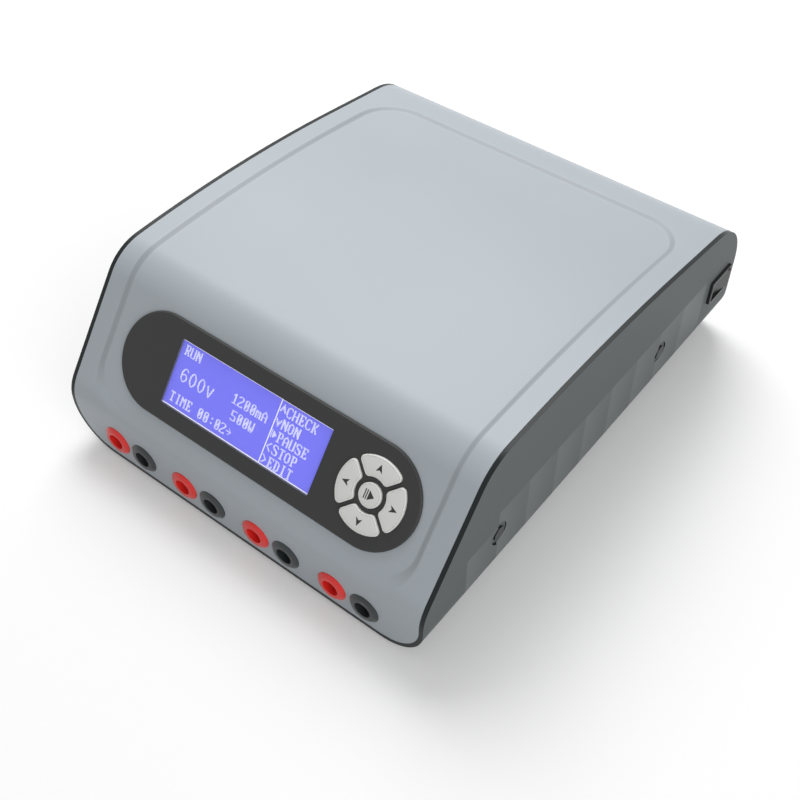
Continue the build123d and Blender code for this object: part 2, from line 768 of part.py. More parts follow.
def make_fan():
    """Fan: square frame with four struts, a rotor with pitched blades and a wire guard outside."""
    centre = Pos(fan_centre_x, fan_z)
    square = RectangleRounded(fan_side, fan_side, fan_corner_radius) - Circle(fan_bore_radius)
    frame = along_y(centre * square, fan_front, rear_panel_front)
    bridge_back = fan_front + fan_strut_thickness
    for angle in (45, 135):
        strut = Rot(0, 0, angle) * Rectangle(2 * fan_bore_radius + fan_strut_width, fan_strut_width)
        frame += along_y(centre * strut, fan_front, bridge_back)
    frame += along_y(centre * Circle(fan_hub_radius), fan_front, bridge_back)
    frame += along_y(centre * Circle(fan_shaft_radius), fan_front, rear_panel_front - 4 * fan_end_gap)
    for dx, dz in fan_screw_offsets:
        hole = disc(fan_centre_x + dx, fan_z + dz, board_screw_radius)
        frame -= along_y(hole, fan_front, rear_panel_front)

    near = bridge_back + fan_end_gap
    far = rear_panel_front - fan_end_gap
    rotor = along_y(centre * Circle(fan_hub_radius), near, far)
    tip = fan_bore_radius - fan_blade_tip_gap
    chord = (far - near - fan_blade_thickness - 2 * fan_blade_end_gap) / cos(radians(fan_blade_angle))
    for i in range(fan_blade_count):
        blade = Box(tip + fan_blade_thickness, chord, fan_blade_thickness)
        blade = Rot(90 - fan_blade_angle, 0, 0) * blade
        blade = Pos((tip + fan_blade_thickness) / 2, 0, 0) * blade
        blade = Rot(0, 360 / fan_blade_count * i, 0) * blade
        rotor += Pos(fan_centre_x, (near + far) / 2, fan_z) * blade
    swept = along_y(centre * Circle(tip), near, far)
    rotor = rotor & swept
    shaft_hole = Circle(fan_shaft_radius + fan_shaft_gap)
    rotor -= along_y(centre * shaft_hole, near, rear_panel_front - 3 * fan_end_gap)

    flat = band(guard_inner_radius, guard_wire_width)
    for i in range(1, guard_rings):
        flat += band(guard_inner_radius + i * guard_ring_pitch, guard_wire_width)
    reach = fan_screw_spacing * sqrt(2)
    bar = Rectangle(reach, guard_wire_width) - Circle(guard_inner_radius)
    eyelet_radius = board_screw_radius + guard_wire_width
    for angle in (45, 135):
        flat += Rot(0, 0, angle) * bar
    for dx, dz in fan_screw_offsets:
        flat += disc(dx, dz, eyelet_radius)
    for dx, dz in fan_screw_offsets:
        flat -= disc(dx, dz, board_screw_radius)
    guard = along_y(centre * flat, rear_panel_back, rear_panel_back + guard_thickness)
    return frame, rotor, guard


def make_screws(spots, head_from, head_to, shank_to, head_radius, shank_radius):
    """Screws along Y at XZ spots, heads outside."""
    screws = []
    for x, z in spots:
        head = along_y(disc(x, z, head_radius), head_from, head_to)
        screws.append(head + along_y(disc(x, z, shank_radius), shank_to, head_from))
    return joined(screws)


def make_inlet():
    """Mains inlet with a shaped cavity, its three pins, and the fuse drawer below."""
    spot = Pos(inlet_centre_x, inlet_z)
    back_y = rear_panel_back - inlet_body_depth
    body = along_y(spot * Rectangle(inlet_body_width, inlet_body_height), back_y, rear_panel_back)
    flange = RectangleRounded(inlet_flange_width, inlet_flange_height, inlet_flange_corner_radius)
    body += along_y(spot * flange, rear_panel_back, inlet_face_y)
    cavity = Rectangle(inlet_cavity_width, inlet_cavity_height)
    cavity = chamfer(cavity.vertices().sort_by(Axis.Y)[-2:], inlet_corner_cut)
    cavity_spot = Pos(inlet_centre_x, cavity_z)
    cavity_back = inlet_face_y - inlet_cavity_depth
    body -= along_y(cavity_spot * cavity, cavity_back, inlet_face_y)
    slot = Rectangle(drawer_width + 2 * drawer_gap, drawer_height + 2 * drawer_gap)
    drawer_spot = Pos(inlet_centre_x, drawer_z)
    drawer_back = inlet_face_y - drawer_depth
    body -= along_y(drawer_spot * slot, drawer_back - drawer_gap, inlet_face_y)

    pins = []
    for side in (-1, 0, 1):
        pin_z = cavity_z + (inlet_pin_rise if side == 0 else -inlet_pin_rise)
        pin_x = inlet_centre_x + side * inlet_pin_spacing
        pin = oblong(pin_x, pin_z, inlet_pin_thickness, inlet_pin_width)
        pins.append(along_y(pin, back_y - inlet_pin_tail, cavity_back + inlet_pin_length))
        body -= along_y(pin, back_y, cavity_back)

    drawer = along_y(drawer_spot * Rectangle(drawer_width, drawer_height), drawer_back, inlet_face_y)
    lip = RectangleRounded(drawer_width, drawer_height, drawer_corner_radius)
    drawer += along_y(drawer_spot * lip, inlet_face_y, inlet_face_y + drawer_lip_proud)
    fuses = []
    trough_y = drawer_back + (drawer_depth - fuse_length) / 2
    fuse_z = drawer_z + drawer_height / 2 - fuse_radius
    for side in (-1, 1):
        fuse_spot = Pos(inlet_centre_x + side * fuse_spacing / 2, fuse_z)
        mouth = oblong(0, fuse_radius, 2 * fuse_radius, 2 * fuse_radius)
        trough = fuse_spot * (Circle(fuse_radius) + mouth)
        drawer -= along_y(trough, trough_y, trough_y + fuse_length)
        fuses.append(along_y(fuse_spot * Circle(fuse_radius), trough_y, trough_y + fuse_length))
    return body, joined(pins), drawer, joined(fuses)


def make_power_board():
    """Large board on the tub's posts with its screws."""
    board = block(
        -power_board_width / 2, power_board_width / 2, power_board_y - power_board_length / 2,
        power_board_y + power_board_length / 2, power_board_bottom, power_board_top
    )
    screws = []
    for x, y in board_post_spots:
        board -= along_z(disc(x, y, board_screw_radius), power_board_bottom, power_board_top)
        head_top = power_board_top + board_screw_head_height
        head = along_z(disc(x, y, board_screw_head_radius), power_board_top, head_top)
        shank = along_z(disc(x, y, board_screw_radius), floor_z + tub_wall, power_board_top)
        screws.append(head + shank)
    return board, joined(screws)


def make_heatsink():
    """Extruded aluminium heat sink with fins on one side and transistors on the other."""
    near = heatsink_y - heatsink_length / 2
    far = heatsink_y + heatsink_length / 2
    low = power_board_top
    base_x = heatsink_x + heatsink_base / 2
    section = oblong(base_x, low + heatsink_height / 2, heatsink_base, heatsink_height)
    step = (heatsink_height - heatsink_fin_thickness) / (heatsink_fins - 1)
    for i in range(heatsink_fins):
        fin_z = low + heatsink_fin_thickness / 2 + i * step
        fin_x = heatsink_x + heatsink_base + heatsink_fin_length / 2
        section += oblong(fin_x, fin_z, heatsink_fin_length, heatsink_fin_thickness)
    sink = along_y(section, near, far)
    transistors = []
    for i in range(transistor_count):
        y = heatsink_y + (i - (transistor_count - 1) / 2) * transistor_pitch
        package_x = heatsink_x - transistor_thickness / 2
        package = oblong(package_x, y, transistor_thickness, transistor_width)
        transistors.append(along_z(package, low, low + transistor_height))
    return sink, joined(transistors)


def make_transformer():
    """Ferrite core with a window on each side of its middle leg, and the winding on that leg."""
    low = power_board_top
    outer = oblong(core_x, low + core_height / 2, core_width, core_height)
    window_width = (core_width - 2 * core_leg) / 2 - core_leg / 2
    window_height = core_height - 2 * core_yoke
    core = outer
    for side in (-1, 1):
        window_x = core_x + side * (core_leg / 2 + window_width / 2)
        core -= oblong(window_x, low + core_height / 2, window_width, window_height)
    core = along_y(core, core_y - core_thickness / 2, core_y + core_thickness / 2)
    wound = RectangleRounded(core_leg + 2 * window_width, core_length, winding_corner_radius)
    wound = Pos(core_x, core_y) * wound
    middle = low + core_height / 2
    winding = along_z(wound, middle - window_height / 2, middle + window_height / 2)
    winding -= along_z(oblong(core_x, core_y, core_leg, core_thickness), low, low + core_height)
    return core, winding


def make_capacitors():
    """Row of large reservoir capacitors on the power board."""
    cans = []
    for i in range(capacitor_count):
        y = last_capacitor_y - i * capacitor_pitch
        can = disc(capacitor_x, y, capacitor_radius)
        can = along_z(can, power_board_top, power_board_top + capacitor_height)
        cans.append(chamfer(can.edges().sort_by(Axis.Z)[-1], capacitor_chamfer))
    return joined(cans)


def make_choke():
    """Wound ring choke lying on the power board."""
    ring = Circle(choke_radius) - Circle(choke_hole_radius)
    ring = Pos(choke_x, choke_y) * ring
    ring = along_z(ring, power_board_top, power_board_top + choke_height)
    rims = ring.edges().filter_by(GeomType.CIRCLE).sort_by(SortBy.RADIUS)[-2:]
    return chamfer(rims, choke_chamfer)


def make_feet():
    """Rubber feet in shallow pockets of the tub, each held by a screw from below."""
    feet = []
    screws = []
    foot_top = base_z + foot_recess
    head_top = foot_screw_sink + foot_screw_head_height
    for x, y in foot_spots:
        foot = Pos(x, y, foot_top / 2) * Cone(foot_radius - foot_taper, foot_radius, foot_top)
        foot -= along_z(disc(x, y, foot_screw_head_radius), 0, head_top)
        foot -= along_z(disc(x, y, foot_screw_radius), 0, foot_top)
        feet.append(foot)
        head = along_z(disc(x, y, foot_screw_head_radius), foot_screw_sink, head_top)
        screws.append(head + along_z(disc(x, y, foot_screw_radius), head_top, foot_screw_top))
    return joined(feet), joined(screws)


def make_case_screws():
    """Four screws through the side walls into the cover's legs."""
    screws = []
    seat_x = wall_x - side_screw_recess_depth
    for spot_y, spot_z in side_screw_spots:
        for side in (-1, 1):
            head = disc(spot_y, spot_z, side_screw_head_radius)
            head = along_x(head, side * seat_x, side * (seat_x + side_screw_head_height))
            shank = disc(spot_y, spot_z, side_screw_shank_radius)
            shank = along_x(shank, side * (seat_x - side_screw_length), side * seat_x)
            screws.append(head + shank)
    return joined(screws)


def make_nodes():
    """Every node of the part by name."""
    nodes = {}
    nodes["lower_tub"] = make_tub()
    nodes["top_cover"] = make_cover()
    nodes["socket_panel"] = make_socket_panel()
    nodes["display_panel"] = make_panel()
    nodes["display_window"], nodes["display_glass"], nodes["display_frame"] = make_display()
    for node in ["key_centre"] + list(key_angles):
        nodes[node] = make_key(node)
    nodes["key_mat"] = make_key_mat()
    nodes["control_board"], nodes["control_board_screws"] = make_control_board()
    for colour, xs in (("red", red_xs), ("black", black_xs)):
        for i, x in enumerate(xs):
            nodes[f"socket_{colour}_{i + 1}"] = make_socket(x)
    nodes["socket_contacts"] = joined([make_contact(x) for x in red_xs + black_xs])
    nodes["socket_nuts"] = make_socket_nuts()
    nodes["output_board"] = make_output_board()
    nodes["switch_frame"], nodes["rocker"], nodes["rocker_face"], nodes["switch_terminals"] = make_switch()
    nodes["rear_panel"] = make_rear_panel()
    nodes["fan_frame"], nodes["fan_rotor"], nodes["fan_guard"] = make_fan()
    fan_spots = [(fan_centre_x + dx, fan_z + dz) for dx, dz in fan_screw_offsets]
    guard_back = rear_panel_back + guard_thickness
    nodes["fan_screws"] = make_screws(
        fan_spots, guard_back, guard_back + fan_screw_head_height, fan_front + fan_depth / 2,
        board_screw_head_radius, board_screw_radius
    )
    nodes["rear_panel_screws"] = make_screws(
        rear_screw_spots, rear_panel_back, rear_panel_back + board_screw_head_height,
        rear_panel_front - rear_block_length + rear_screw_end_gap,
        board_screw_head_radius, board_screw_radius
    )
    nodes["mains_inlet"], nodes["inlet_pins"], nodes["fuse_drawer"], nodes["fuses"] = make_inlet()
    nodes["power_board"], nodes["power_board_screws"] = make_power_board()
    nodes["heat_sink"], nodes["power_transistors"] = make_heatsink()
    nodes["transformer_core"], nodes["transformer_winding"] = make_transformer()
    nodes["reservoir_capacitors"] = make_capacitors()
    nodes["line_choke"] = make_choke()
    nodes["rubber_feet"], nodes["foot_screws"] = make_feet()
    nodes["case_screws"] = make_case_screws()
    return nodes


if __name__ == "__main__":
    os.makedirs("parts", exist_ok=True)
    for node, shape in make_nodes().items():
        export_step(shape, f"parts/{node}.step")
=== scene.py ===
import math

import bmesh
import bpy
from bpy.props import FloatProperty, FloatVectorProperty, IntProperty, PointerProperty
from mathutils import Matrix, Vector


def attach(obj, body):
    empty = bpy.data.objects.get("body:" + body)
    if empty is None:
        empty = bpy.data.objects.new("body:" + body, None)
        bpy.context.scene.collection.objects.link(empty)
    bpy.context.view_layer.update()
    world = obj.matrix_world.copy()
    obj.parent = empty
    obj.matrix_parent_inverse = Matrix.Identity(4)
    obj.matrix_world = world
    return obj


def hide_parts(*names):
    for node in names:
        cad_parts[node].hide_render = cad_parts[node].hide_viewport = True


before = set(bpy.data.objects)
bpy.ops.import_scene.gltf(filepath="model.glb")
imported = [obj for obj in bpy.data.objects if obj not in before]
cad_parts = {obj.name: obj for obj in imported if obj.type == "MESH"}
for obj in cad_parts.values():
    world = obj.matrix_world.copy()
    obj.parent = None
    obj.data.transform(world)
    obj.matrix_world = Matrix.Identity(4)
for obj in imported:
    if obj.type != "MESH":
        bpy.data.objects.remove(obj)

bl_info = {
    "name": "Gel Power Supply Dressing",
    "version": (1, 0, 0),
    "blender": (4, 5, 0),
    "location": "3D Viewport > Sidebar > Power Supply",
    "description": "Dresses the CAD model of an electrophoresis power supply and lights it",
    "category": "Object",
}

MM = 0.001
CASE_BODY = "case"

# Mesh attribute that is one on the crisp wall of the cover's sunken field, and nought elsewhere; it places
# the painted shade on that wall
FIELD_WALL = "field_wall"

# Sockets of a Mix node that mixes colours
MIX_FACTOR, MIX_FIRST, MIX_SECOND, MIX_RESULT = 0, 6, 7, 2

# Width over which the tone of a moulded face drifts, and of the floor's faint cloud
DRIFT_SPAN = 90 * MM
CLOUD_SPAN = 200 * MM

# Share of a noise at which a drifting tone starts and ends
DRIFT_FROM, DRIFT_TO = 0.3, 0.7

# How far a moulded face's roughness strays from its middle value with the grain
GLOSS_SPREAD = 0.06

# Sensor width in millimetres, on which the lens is given, and the camera's reach in metres
SENSOR = 36.0
NEAREST, FARTHEST = 0.01, 50.0

# Angles in degrees over which an edge of a copied CAD node stays sharp
SHARP, SHARP_OUTLINE, SHARP_KEY = 30.0, 24.0, 40.0

# Angle in degrees over which an edge of the cover or of a domed key stays sharp
SHARP_SHEET = 50.0

# Distance in metres below which two vertices of a copied CAD node become one, and angle in degrees
# below which two of its faces become one
SAME_SPOT = 0.5e-6
FLAT_ANGLE = 0.5

# Rounding of a key's edges, and the insets and lifts that dome its face
KEY_EDGE = 0.18 * MM
KEY_DOME = ((0.35 * MM, 0.13 * MM), (0.45 * MM, 0.09 * MM), (0.55 * MM, 0.05 * MM))

# Steps along the cover's outline: on flats and bends near the field's wall, and elsewhere
FLAT_STEP, BEND_STEP = 1.0 * MM, 0.7 * MM
CROWN_STEP, REAR_BEND_STEP, REAR_STEP = 4.0 * MM, 1.4 * MM, 2.0 * MM

# Share of the straight top before the field's rear wall comes near
PLAIN_SHARE = 0.4

# Steps across the cover, in general and near the field's side walls
WIDE_COLUMN, FINE_COLUMN = 1.0 * MM, 0.5 * MM

# Height of prints over their face, and of lit dots over the glass
PRINT_LIFT, DOT_LIFT = 0.02 * MM, 0.03 * MM

# Gap between the display's edge and its rules, between its edge and the window, and under the window
RULE_INSET, WINDOW_INSET, WINDOW_GAP = 0.2 * MM, 0.1 * MM, 0.5 * MM

# Words on the display, and how far in millimetres they start from the screen's left and upper edge
FIGURE_LINE = ("600V", 5.7, 14.2)
WORD_LINES = (("RUN", 2.8, 2.2), ("1200mA", 41.0, 11.2), ("500W", 43.9, 19.8), ("TIME 00:02-", 3.2, 28.7))
MENU = ("^CHECK", "vNON", "}PAUSE", "<STOP", ">EDIT")
MENU_LEFT, MENU_TOP, MENU_ROW = 70.4, 2.3, 7.1

# Dots from one letter to the next, and from one large figure to the next
LETTER_ADVANCE, FIGURE_ADVANCE = 8, 12

# Letters, digits and signs of the display, eleven rows of seven dots each. The sign } stands for a
# filled arrow, and - for the small arrow after the time.
LETTERS = {
    "A": "...#... ..###.. .##.##. ##...## ##...## ##...## ####### ##...## ##...## ##...## ##...##",
    "C": "..####. .##..## ##....# ##..... ##..... ##..... ##..... ##..... ##....# .##..## ..####.",
    "D": "#####.. .##.##. .##..## .##..## .##..## .##..## .##..## .##..## .##..## .##.##. #####..",
    "E": "####### .##..## .##...# .##.... .##.#.. .####.. .##.#.. .##.... .##...# .##..## #######",
    "H": "##...## ##...## ##...## ##...## ##...## ####### ##...## ##...## ##...## ##...## ##...##",
    "I": "..####. ...##.. ...##.. ...##.. ...##.. ...##.. ...##.. ...##.. ...##.. ...##.. ..####.",
    "K": "###..## .##..## .##.##. .##.##. .####.. .###... .####.. .##.##. .##.##. .##..## ###..##",
    "M": "##...## ###.### ####### ####### ##.#.## ##.#.## ##...## ##...## ##...## ##...## ##...##",
    "N": "##...## ###..## ####.## ####.## ####### ##.#### ##.#### ##..### ##..### ##...## ##...##",
    "O": "..###.. .##.##. ##...## ##...## ##...## ##...## ##...## ##...## ##...## .##.##. ..###..",
    "P": "######. .##..## .##..## .##..## .##..## .#####. .##.... .##.... .##.... .##.... ####...",
    "R": "######. .##..## .##..## .##..## .##..## .#####. .####.. .##.##. .##.##. .##..## ###..##",
    "S": ".#####. ##...## ##....# ##..... .###... ..####. ....### .....## #....## ##...## .#####.",
    "T": ".###### .#.##.# ...##.. ...##.. ...##.. ...##.. ...##.. ...##.. ...##.. ...##.. ..####.",
    "U": "##...## ##...## ##...## ##...## ##...## ##...## ##...## ##...## ##...## ##...## .#####.",
    "W": "##...## ##...## ##...## ##...## ##...## ##.#.## ##.#.## ####### ####### .##.##. .##.##.",
    "m": "....... ....... ....... ###.##. ####### ##.#.## ##.#.## ##.#.## ##.#.## ##.#.## ##.#.##",
    "0": "..####. .##..## .##..## .##.### .##.### .###### .###.## .###.## .##..## .##..## ..####.",
    "1": "...##.. ..###.. .####.. ...##.. ...##.. ...##.. ...##.. ...##.. ...##.. ...##.. .######",
    "2": ".#####. ##...## .....## .....## ....##. ...##.. ..##... .##.... ##..... ##...## #######",
    "5": "####### ##..... ##..... ##..... ##..... ######. .....## .....## .....## ##...## .#####.",
    ":": "....... ....... ...##.. ...##.. ....... ....... ....... ...##.. ...##.. ....... .......",
    "^": "...#... ...#... ..###.. ..###.. .#####. .##.##. ##.#.## ##...## #.....# ....... .......",
    "v": "....... ....... #.....# ##...## ##.#.## .##.##. .#####. ..###.. ..###.. ...#... ...#...",
    "}": "....... #...... #.##... #.###.. #.####. #.##### #.####. #.###.. #.##... #...... .......",
    "<": "....... ....##. ...##.. ..##... .##.... ##..... .##.... ..##... ...##.. ....##. .......",
    ">": "....... ##..... .##.... ..##... ...##.. ....##. ...##.. ..##... .##.... ##..... .......",
    "-": "....... ....... ...#... ....#.. .....#. ####### .....#. ....#.. ...#... ....... .......",
    " ": "",
}

# Large figures of the voltage, fifteen rows of nine dots each
FIGURES = {
    "6": (
        "...####.. ..##..##. .##....## .##...... ##....... ##....... ##.####.. ####..##. "
        "##.....## ##.....## ##.....## ##.....## .##...##. ..##.##.. ...###..."
    ),
    "0": (
        "...###... ..##.##.. .##...##. .##...##. ##.....## ##.....## ##.....## ##.....## "
        "##.....## ##.....## ##.....## .##...##. .##...##. ..##.##.. ...###..."
    ),
    "V": (
        "......... ......... ......... ##.....## ##.....## ##.....## .##...##. .##...##. "
        ".##...##. ..##.##.. ..##.##.. ..##.##.. ...###... ...###... ....#...."
    ),
}


def length(name, description, default, low=0.0, high=2.0):
    """A length property in metres."""
    return FloatProperty(
        name=name, description=description, default=default, min=low, max=high, unit="LENGTH", precision=5
    )


def share(name, description, default):
    """A property between nought and one."""
    return FloatProperty(
        name=name, description=description, default=default, min=0.0, max=1.0, subtype="FACTOR"
    )


def place(name, description, default, subtype="TRANSLATION"):
    """A point or a direction in metres."""
    return FloatVectorProperty(name=name, description=description, default=default, subtype=subtype)


def srgb(hex_code):
    """Linear RGBA of an sRGB colour such as 'C0C0C0'."""
    channels = [int(hex_code[i:i + 2], 16) / 255 for i in (0, 2, 4)]
    linear = [c / 12.92 if c <= 0.04045 else ((c + 0.055) / 1.055) ** 2.4 for c in channels]
    return (*linear, 1.0)


def colour(name, description, hex_code):
    """A colour property that starts from an sRGB hex value."""
    return FloatVectorProperty(
        name=name, description=description, default=srgb(hex_code), size=4, min=0.0, max=1.0, subtype="COLOR"
    )


class CaseSettings(bpy.types.PropertyGroup):
    """Outline of the case and of the sunken field in its cover."""
    width: length("Width", "Case width over both side walls", 0.250)
    depth: length("Depth", "Case depth from front face to rear edge", 0.312)
    foot_height: length("Foot height", "Height of the case's underside over the bench", 0.0025)
    tub_wall: length("Tub wall", "Wall thickness of the dark tub", 0.0025)
    cover_wall: length("Cover wall", "Wall thickness of the light cover", 0.003)
    shell_gap: length("Shell gap", "Gap between cover and tub walls", 0.00015)
    corner_radius: length("Corner radius", "Radius of the tub's lower long edges", 0.027)
    front_corner: length("Front corner", "Height where the front and slope lines meet", 0.0381)
    slope_lean: FloatProperty(
        name="Slope lean", description="Lean of the control slope back from the vertical",
        default=math.radians(37.8), subtype="ANGLE"
    )
    front_bend: length("Front bend", "Radius between front face and slope", 0.025)
    top_bend: length("Top bend", "Radius between slope and crown", 0.030)
    crown_height: length("Crown height", "Highest point over the case's underside", 0.1063)
    crown_setback: length("Crown setback", "Distance of the highest point from the front", 0.097)
    crown_radius: length("Crown radius", "Radius of the crowned top", 1.0)
    crown_end: length("Crown end", "Distance from the front where the crown turns straight", 0.228)
    rear_bend: length("Rear bend", "Radius between top and rear", 0.040)
    rear_edge: length("Rear edge", "Height of the cover's rear lower edge", 0.054)
    field_depth: length("Field depth", "Depth of the sunken field", 0.0012)
    field_half_width: length("Field half width", "Half width of the sunken field", 0.109)
    field_drop: length("Field drop", "Lower edge of the field below the panel's centre line", 0.0396)
    field_setback: length("Field setback", "Rear edge of the field from the front", 0.268)
    field_corner: length("Field corner", "Corner radius of the sunken field", 0.025)
    field_wall: length("Field wall", "Width of the field's bevelled side wall", 0.0034)
    # Painted shade: how much the colour of the field's tilted wall is darkened
    field_wall_painted_shade: share("Field wall painted shade", "How much darker the field's wall looks", 0.24)
    field_margin: length("Field margin", "Width of the finely divided strip on each side of the wall", 0.005)
    field_ramp: length("Field ramp", "Width of the field's soft front wall", 0.009)
    panel_rise: length("Panel rise", "Distance of the panel's centre line from the front corner", 0.0412)
    louvre_first: length("Louvre first", "Distance of the first louvre step from the front", 0.0345)
    louvre_pitch: length("Louvre pitch", "Distance between neighbouring louvre steps", 0.0266)


class DisplaySettings(bpy.types.PropertyGroup):
    """Oval panel with its display and keys."""
    panel_centre: length("Panel centre", "Middle of the oval panel along X", 0.0015, -1.0)
    panel_length: length("Panel length", "Length of the oval panel", 0.200)
    panel_height: length("Panel height", "Height of the oval panel", 0.056)
    screen_centre: length("Screen centre", "Middle of the screen along X", -0.0105, -1.0)
    screen_width: length("Screen width", "Visible width of the display", 0.1038)
    screen_height: length("Screen height", "Visible height of the display", 0.0374)
    glass_level: length("Glass level", "Level of the display glass under the window", -0.0012, -1.0)
    window_level: length("Window level", "Level of the window's surface", 0.0001, -1.0)
    divider: share("Divider", "Share of the width left of the divider", 0.668)
    rule_width: length("Rule width", "Width of the bright rules round the display", 0.0006)
    grid_pitch: length("Grid pitch", "Pitch of the faint grid behind the dots, drawn to show", 0.00054)
    key_centre: length("Key centre", "Middle of the key pad along X", 0.0735)
    key_ring: length("Key ring", "Radius on which the arrows stand", 0.0147)
    key_level: length("Key level", "Level of the key caps' tops", 0.0019)
    arrow_size: length("Arrow size", "Size on which the key marks are drawn", 0.0046)
    dot_pitch: length("Dot pitch", "Distance between neighbouring dots of the display", 0.000515)
    dot_fill: share("Dot fill", "Share of the pitch that a dot covers", 0.96)
    panel_lap: length("Panel lap", "How far the cover goes on under the panel", 0.0022)


class SocketSettings(bpy.types.PropertyGroup):
    """Row of output sockets in the front wall."""
    height: length("Height", "Height of the socket axes over the case's underside", 0.0158)
    pairs: IntProperty(name="Pairs", description="Number of socket pairs", default=4, min=1)
    pair_pitch: length("Pair pitch", "Distance between neighbouring pairs", 0.0526)
    pair_centre: length("Pair centre", "Middle of the row along X", -0.0013, -1.0)
    spacing: length("Spacing", "Distance between the sockets of a pair", 0.0212)
    clearance: length("Clearance", "Radius left open in the cover's front wall", 0.0080)


class ColourSettings(bpy.types.PropertyGroup):
    """Colours of the pieces that show."""
    cover: colour("Cover", "Light grey of the wrap cover", "B2BAC0")
    tub: colour("Tub", "Dark grey of the tub's walls", "656A6B")
    # Painted light and shade of the louvre blades: a painted shadow right beside each step, and a painted
    # highlight where the blade would catch the light
    blade_painted_shadow: colour("Blade painted shadow", "Louvre blade right beside its step", "26292A")
    blade_painted_light: colour("Blade painted light", "Louvre blade where it catches the light", "727879")
    rim: colour("Rim", "Near black end faces of the tub's walls", "1E2324")
    panel: colour("Panel", "Oval control panel", "3F403F")
    keys: colour("Keys", "Five key caps", "EDEDEA")
    marks: colour("Key marks", "Printed arrows and run mark", "2A2A28")
    red: colour("Red sockets", "Collars of the red sockets", "F0322C")
    black: colour("Black sockets", "Collars of the black sockets", "333839")
    switch: colour("Switch frame", "Bezel of the mains switch", "26282A")
    rocker: colour("Rocker", "Dark red body of the rocker", "5A2028")
    rocker_face: colour("Rocker face", "Grey face of the rocker", "3C3C3C")
    rear: colour("Rear panel", "Powder coat of the rear panel", "4A4E4F")
    display: colour("Display", "Blue of the unlit dots", "5C5CF0")
    display_bright: colour("Display, brighter dots", "Second blue, as the dots vary", "6060F2")
    display_grid: colour("Display grid", "Blue between the dots", "5252E6")
    ink_low: colour("Ink, darker", "Darkest tone of the lit words", "D4D6FF")
    ink_high: colour("Ink, lighter", "Lightest tone of the lit words", "E8E9FF")


class StageSettings(bpy.types.PropertyGroup):
    """Camera, lights and floor."""
    camera: place("Camera", "Camera position", (0.2964, -0.3935, 0.5198))
    forward: place("Forward", "Camera direction", (-0.4141, 0.5304, -0.7397), "DIRECTION")
    lens: FloatProperty(name="Lens", description="Focal length in millimetres", default=52.39)
    target: place("Target", "Point that the lights face", (0.0, 0.0, 0.05))
    key_place: place("Key light", "Place of the large light above", (-0.7, 0.85, 1.6))
    side_place: place("Side light", "Place of the light on the right side", (1.5, -0.75, 0.6))
    light_size: length("Light size", "Side of each square light", 1.2)
    key_power: FloatProperty(name="Key power", description="Power of the large light above", default=25.0)
    side_power: FloatProperty(name="Side power", description="Power of the side light", default=10.0)
    sky: share("Sky", "Strength of the even surrounding light", 0.38)
    floor_reach: length("Floor reach", "Half the side of the square floor", 1.0)
    floor_seen: share("Floor seen", "Grey of the floor to the camera", 0.94)
    floor_lift: share("Floor lift", "Glow that turns the seen floor white", 0.15)
    floor_bounce: share("Floor bounce", "Grey of the floor as it lights the object", 0.5)


def scaled(colour, factor):
    """A colour with its channels multiplied, kept in range."""
    return (*[min(1.0, c * factor) for c in colour[:3]], 1.0)


def feed(tree, node, inputs):
    """Gives each input of a node its value, or the output that drives it."""
    for name, value in inputs.items():
        if isinstance(value, bpy.types.NodeSocket):
            tree.links.new(value, node.inputs[name])
        else:
            node.inputs[name].default_value = value


def add_node(tree, kind, inputs=None, stops=(), **settings):
    """Adds a node with its settings, the stops of its colour ramp and what feeds its inputs."""
    node = tree.nodes.new(kind)
    for name, value in settings.items():
        setattr(node, name, value)
    if stops:
        elements = node.color_ramp.elements
        for _ in stops[2:]:
            elements.new(0.5)
        for element, (position, tone) in zip(elements, stops):
            element.position, element.color = position, tone
    feed(tree, node, inputs or {})
    return node


def new_material(name):
    """An empty node material with its output and a Principled shader."""
    material = bpy.data.materials.new(name)
    material.use_nodes = True
    tree = material.node_tree
    tree.nodes.clear()
    shader = add_node(tree, "ShaderNodeBsdfPrincipled")
    add_node(tree, "ShaderNodeOutputMaterial", {"Surface": shader.outputs["BSDF"]})
    return material, tree, shader


def moulded(name, base, roughness, grain=0.35 * MM, relief=0.012 * MM, drift=0.015, specular=0.4):
    """Moulded plastic: the mould's spark-eroded grain blurs the highlights, and a slow drift of tone
    keeps a large face from looking painted. The grain is drawn coarser than real, so that it shows."""
    material, tree, shader = new_material(name)
    spot = add_node(tree, "ShaderNodeTexCoord").outputs["Object"]
    broad = add_node(tree, "ShaderNodeTexNoise", {"Vector": spot, "Scale": 1.0 / DRIFT_SPAN})
    fine = add_node(tree, "ShaderNodeTexNoise", {"Vector": spot, "Scale": 1.0 / grain, "Detail": 3.0})
    height = fine.outputs["Fac"]
    tone = add_node(
        tree, "ShaderNodeValToRGB", {"Fac": broad.outputs["Fac"]},
        stops=((DRIFT_FROM, scaled(base, 1 - drift)), (DRIFT_TO, scaled(base, 1 + drift)))
    )
    low, high = max(0.05, roughness - GLOSS_SPREAD), min(1.0, roughness + GLOSS_SPREAD)
    gloss = add_node(tree, "ShaderNodeMapRange", {"Value": height, "To Min": low, "To Max": high})
    bump = add_node(tree, "ShaderNodeBump", {"Height": height, "Strength": 0.35, "Distance": relief})
    feed(tree, shader, {
        "Base Color": tone.outputs["Color"], "Roughness": gloss.outputs["Result"],
        "Normal": bump.outputs["Normal"], "Specular IOR Level": specular,
    })
    return material


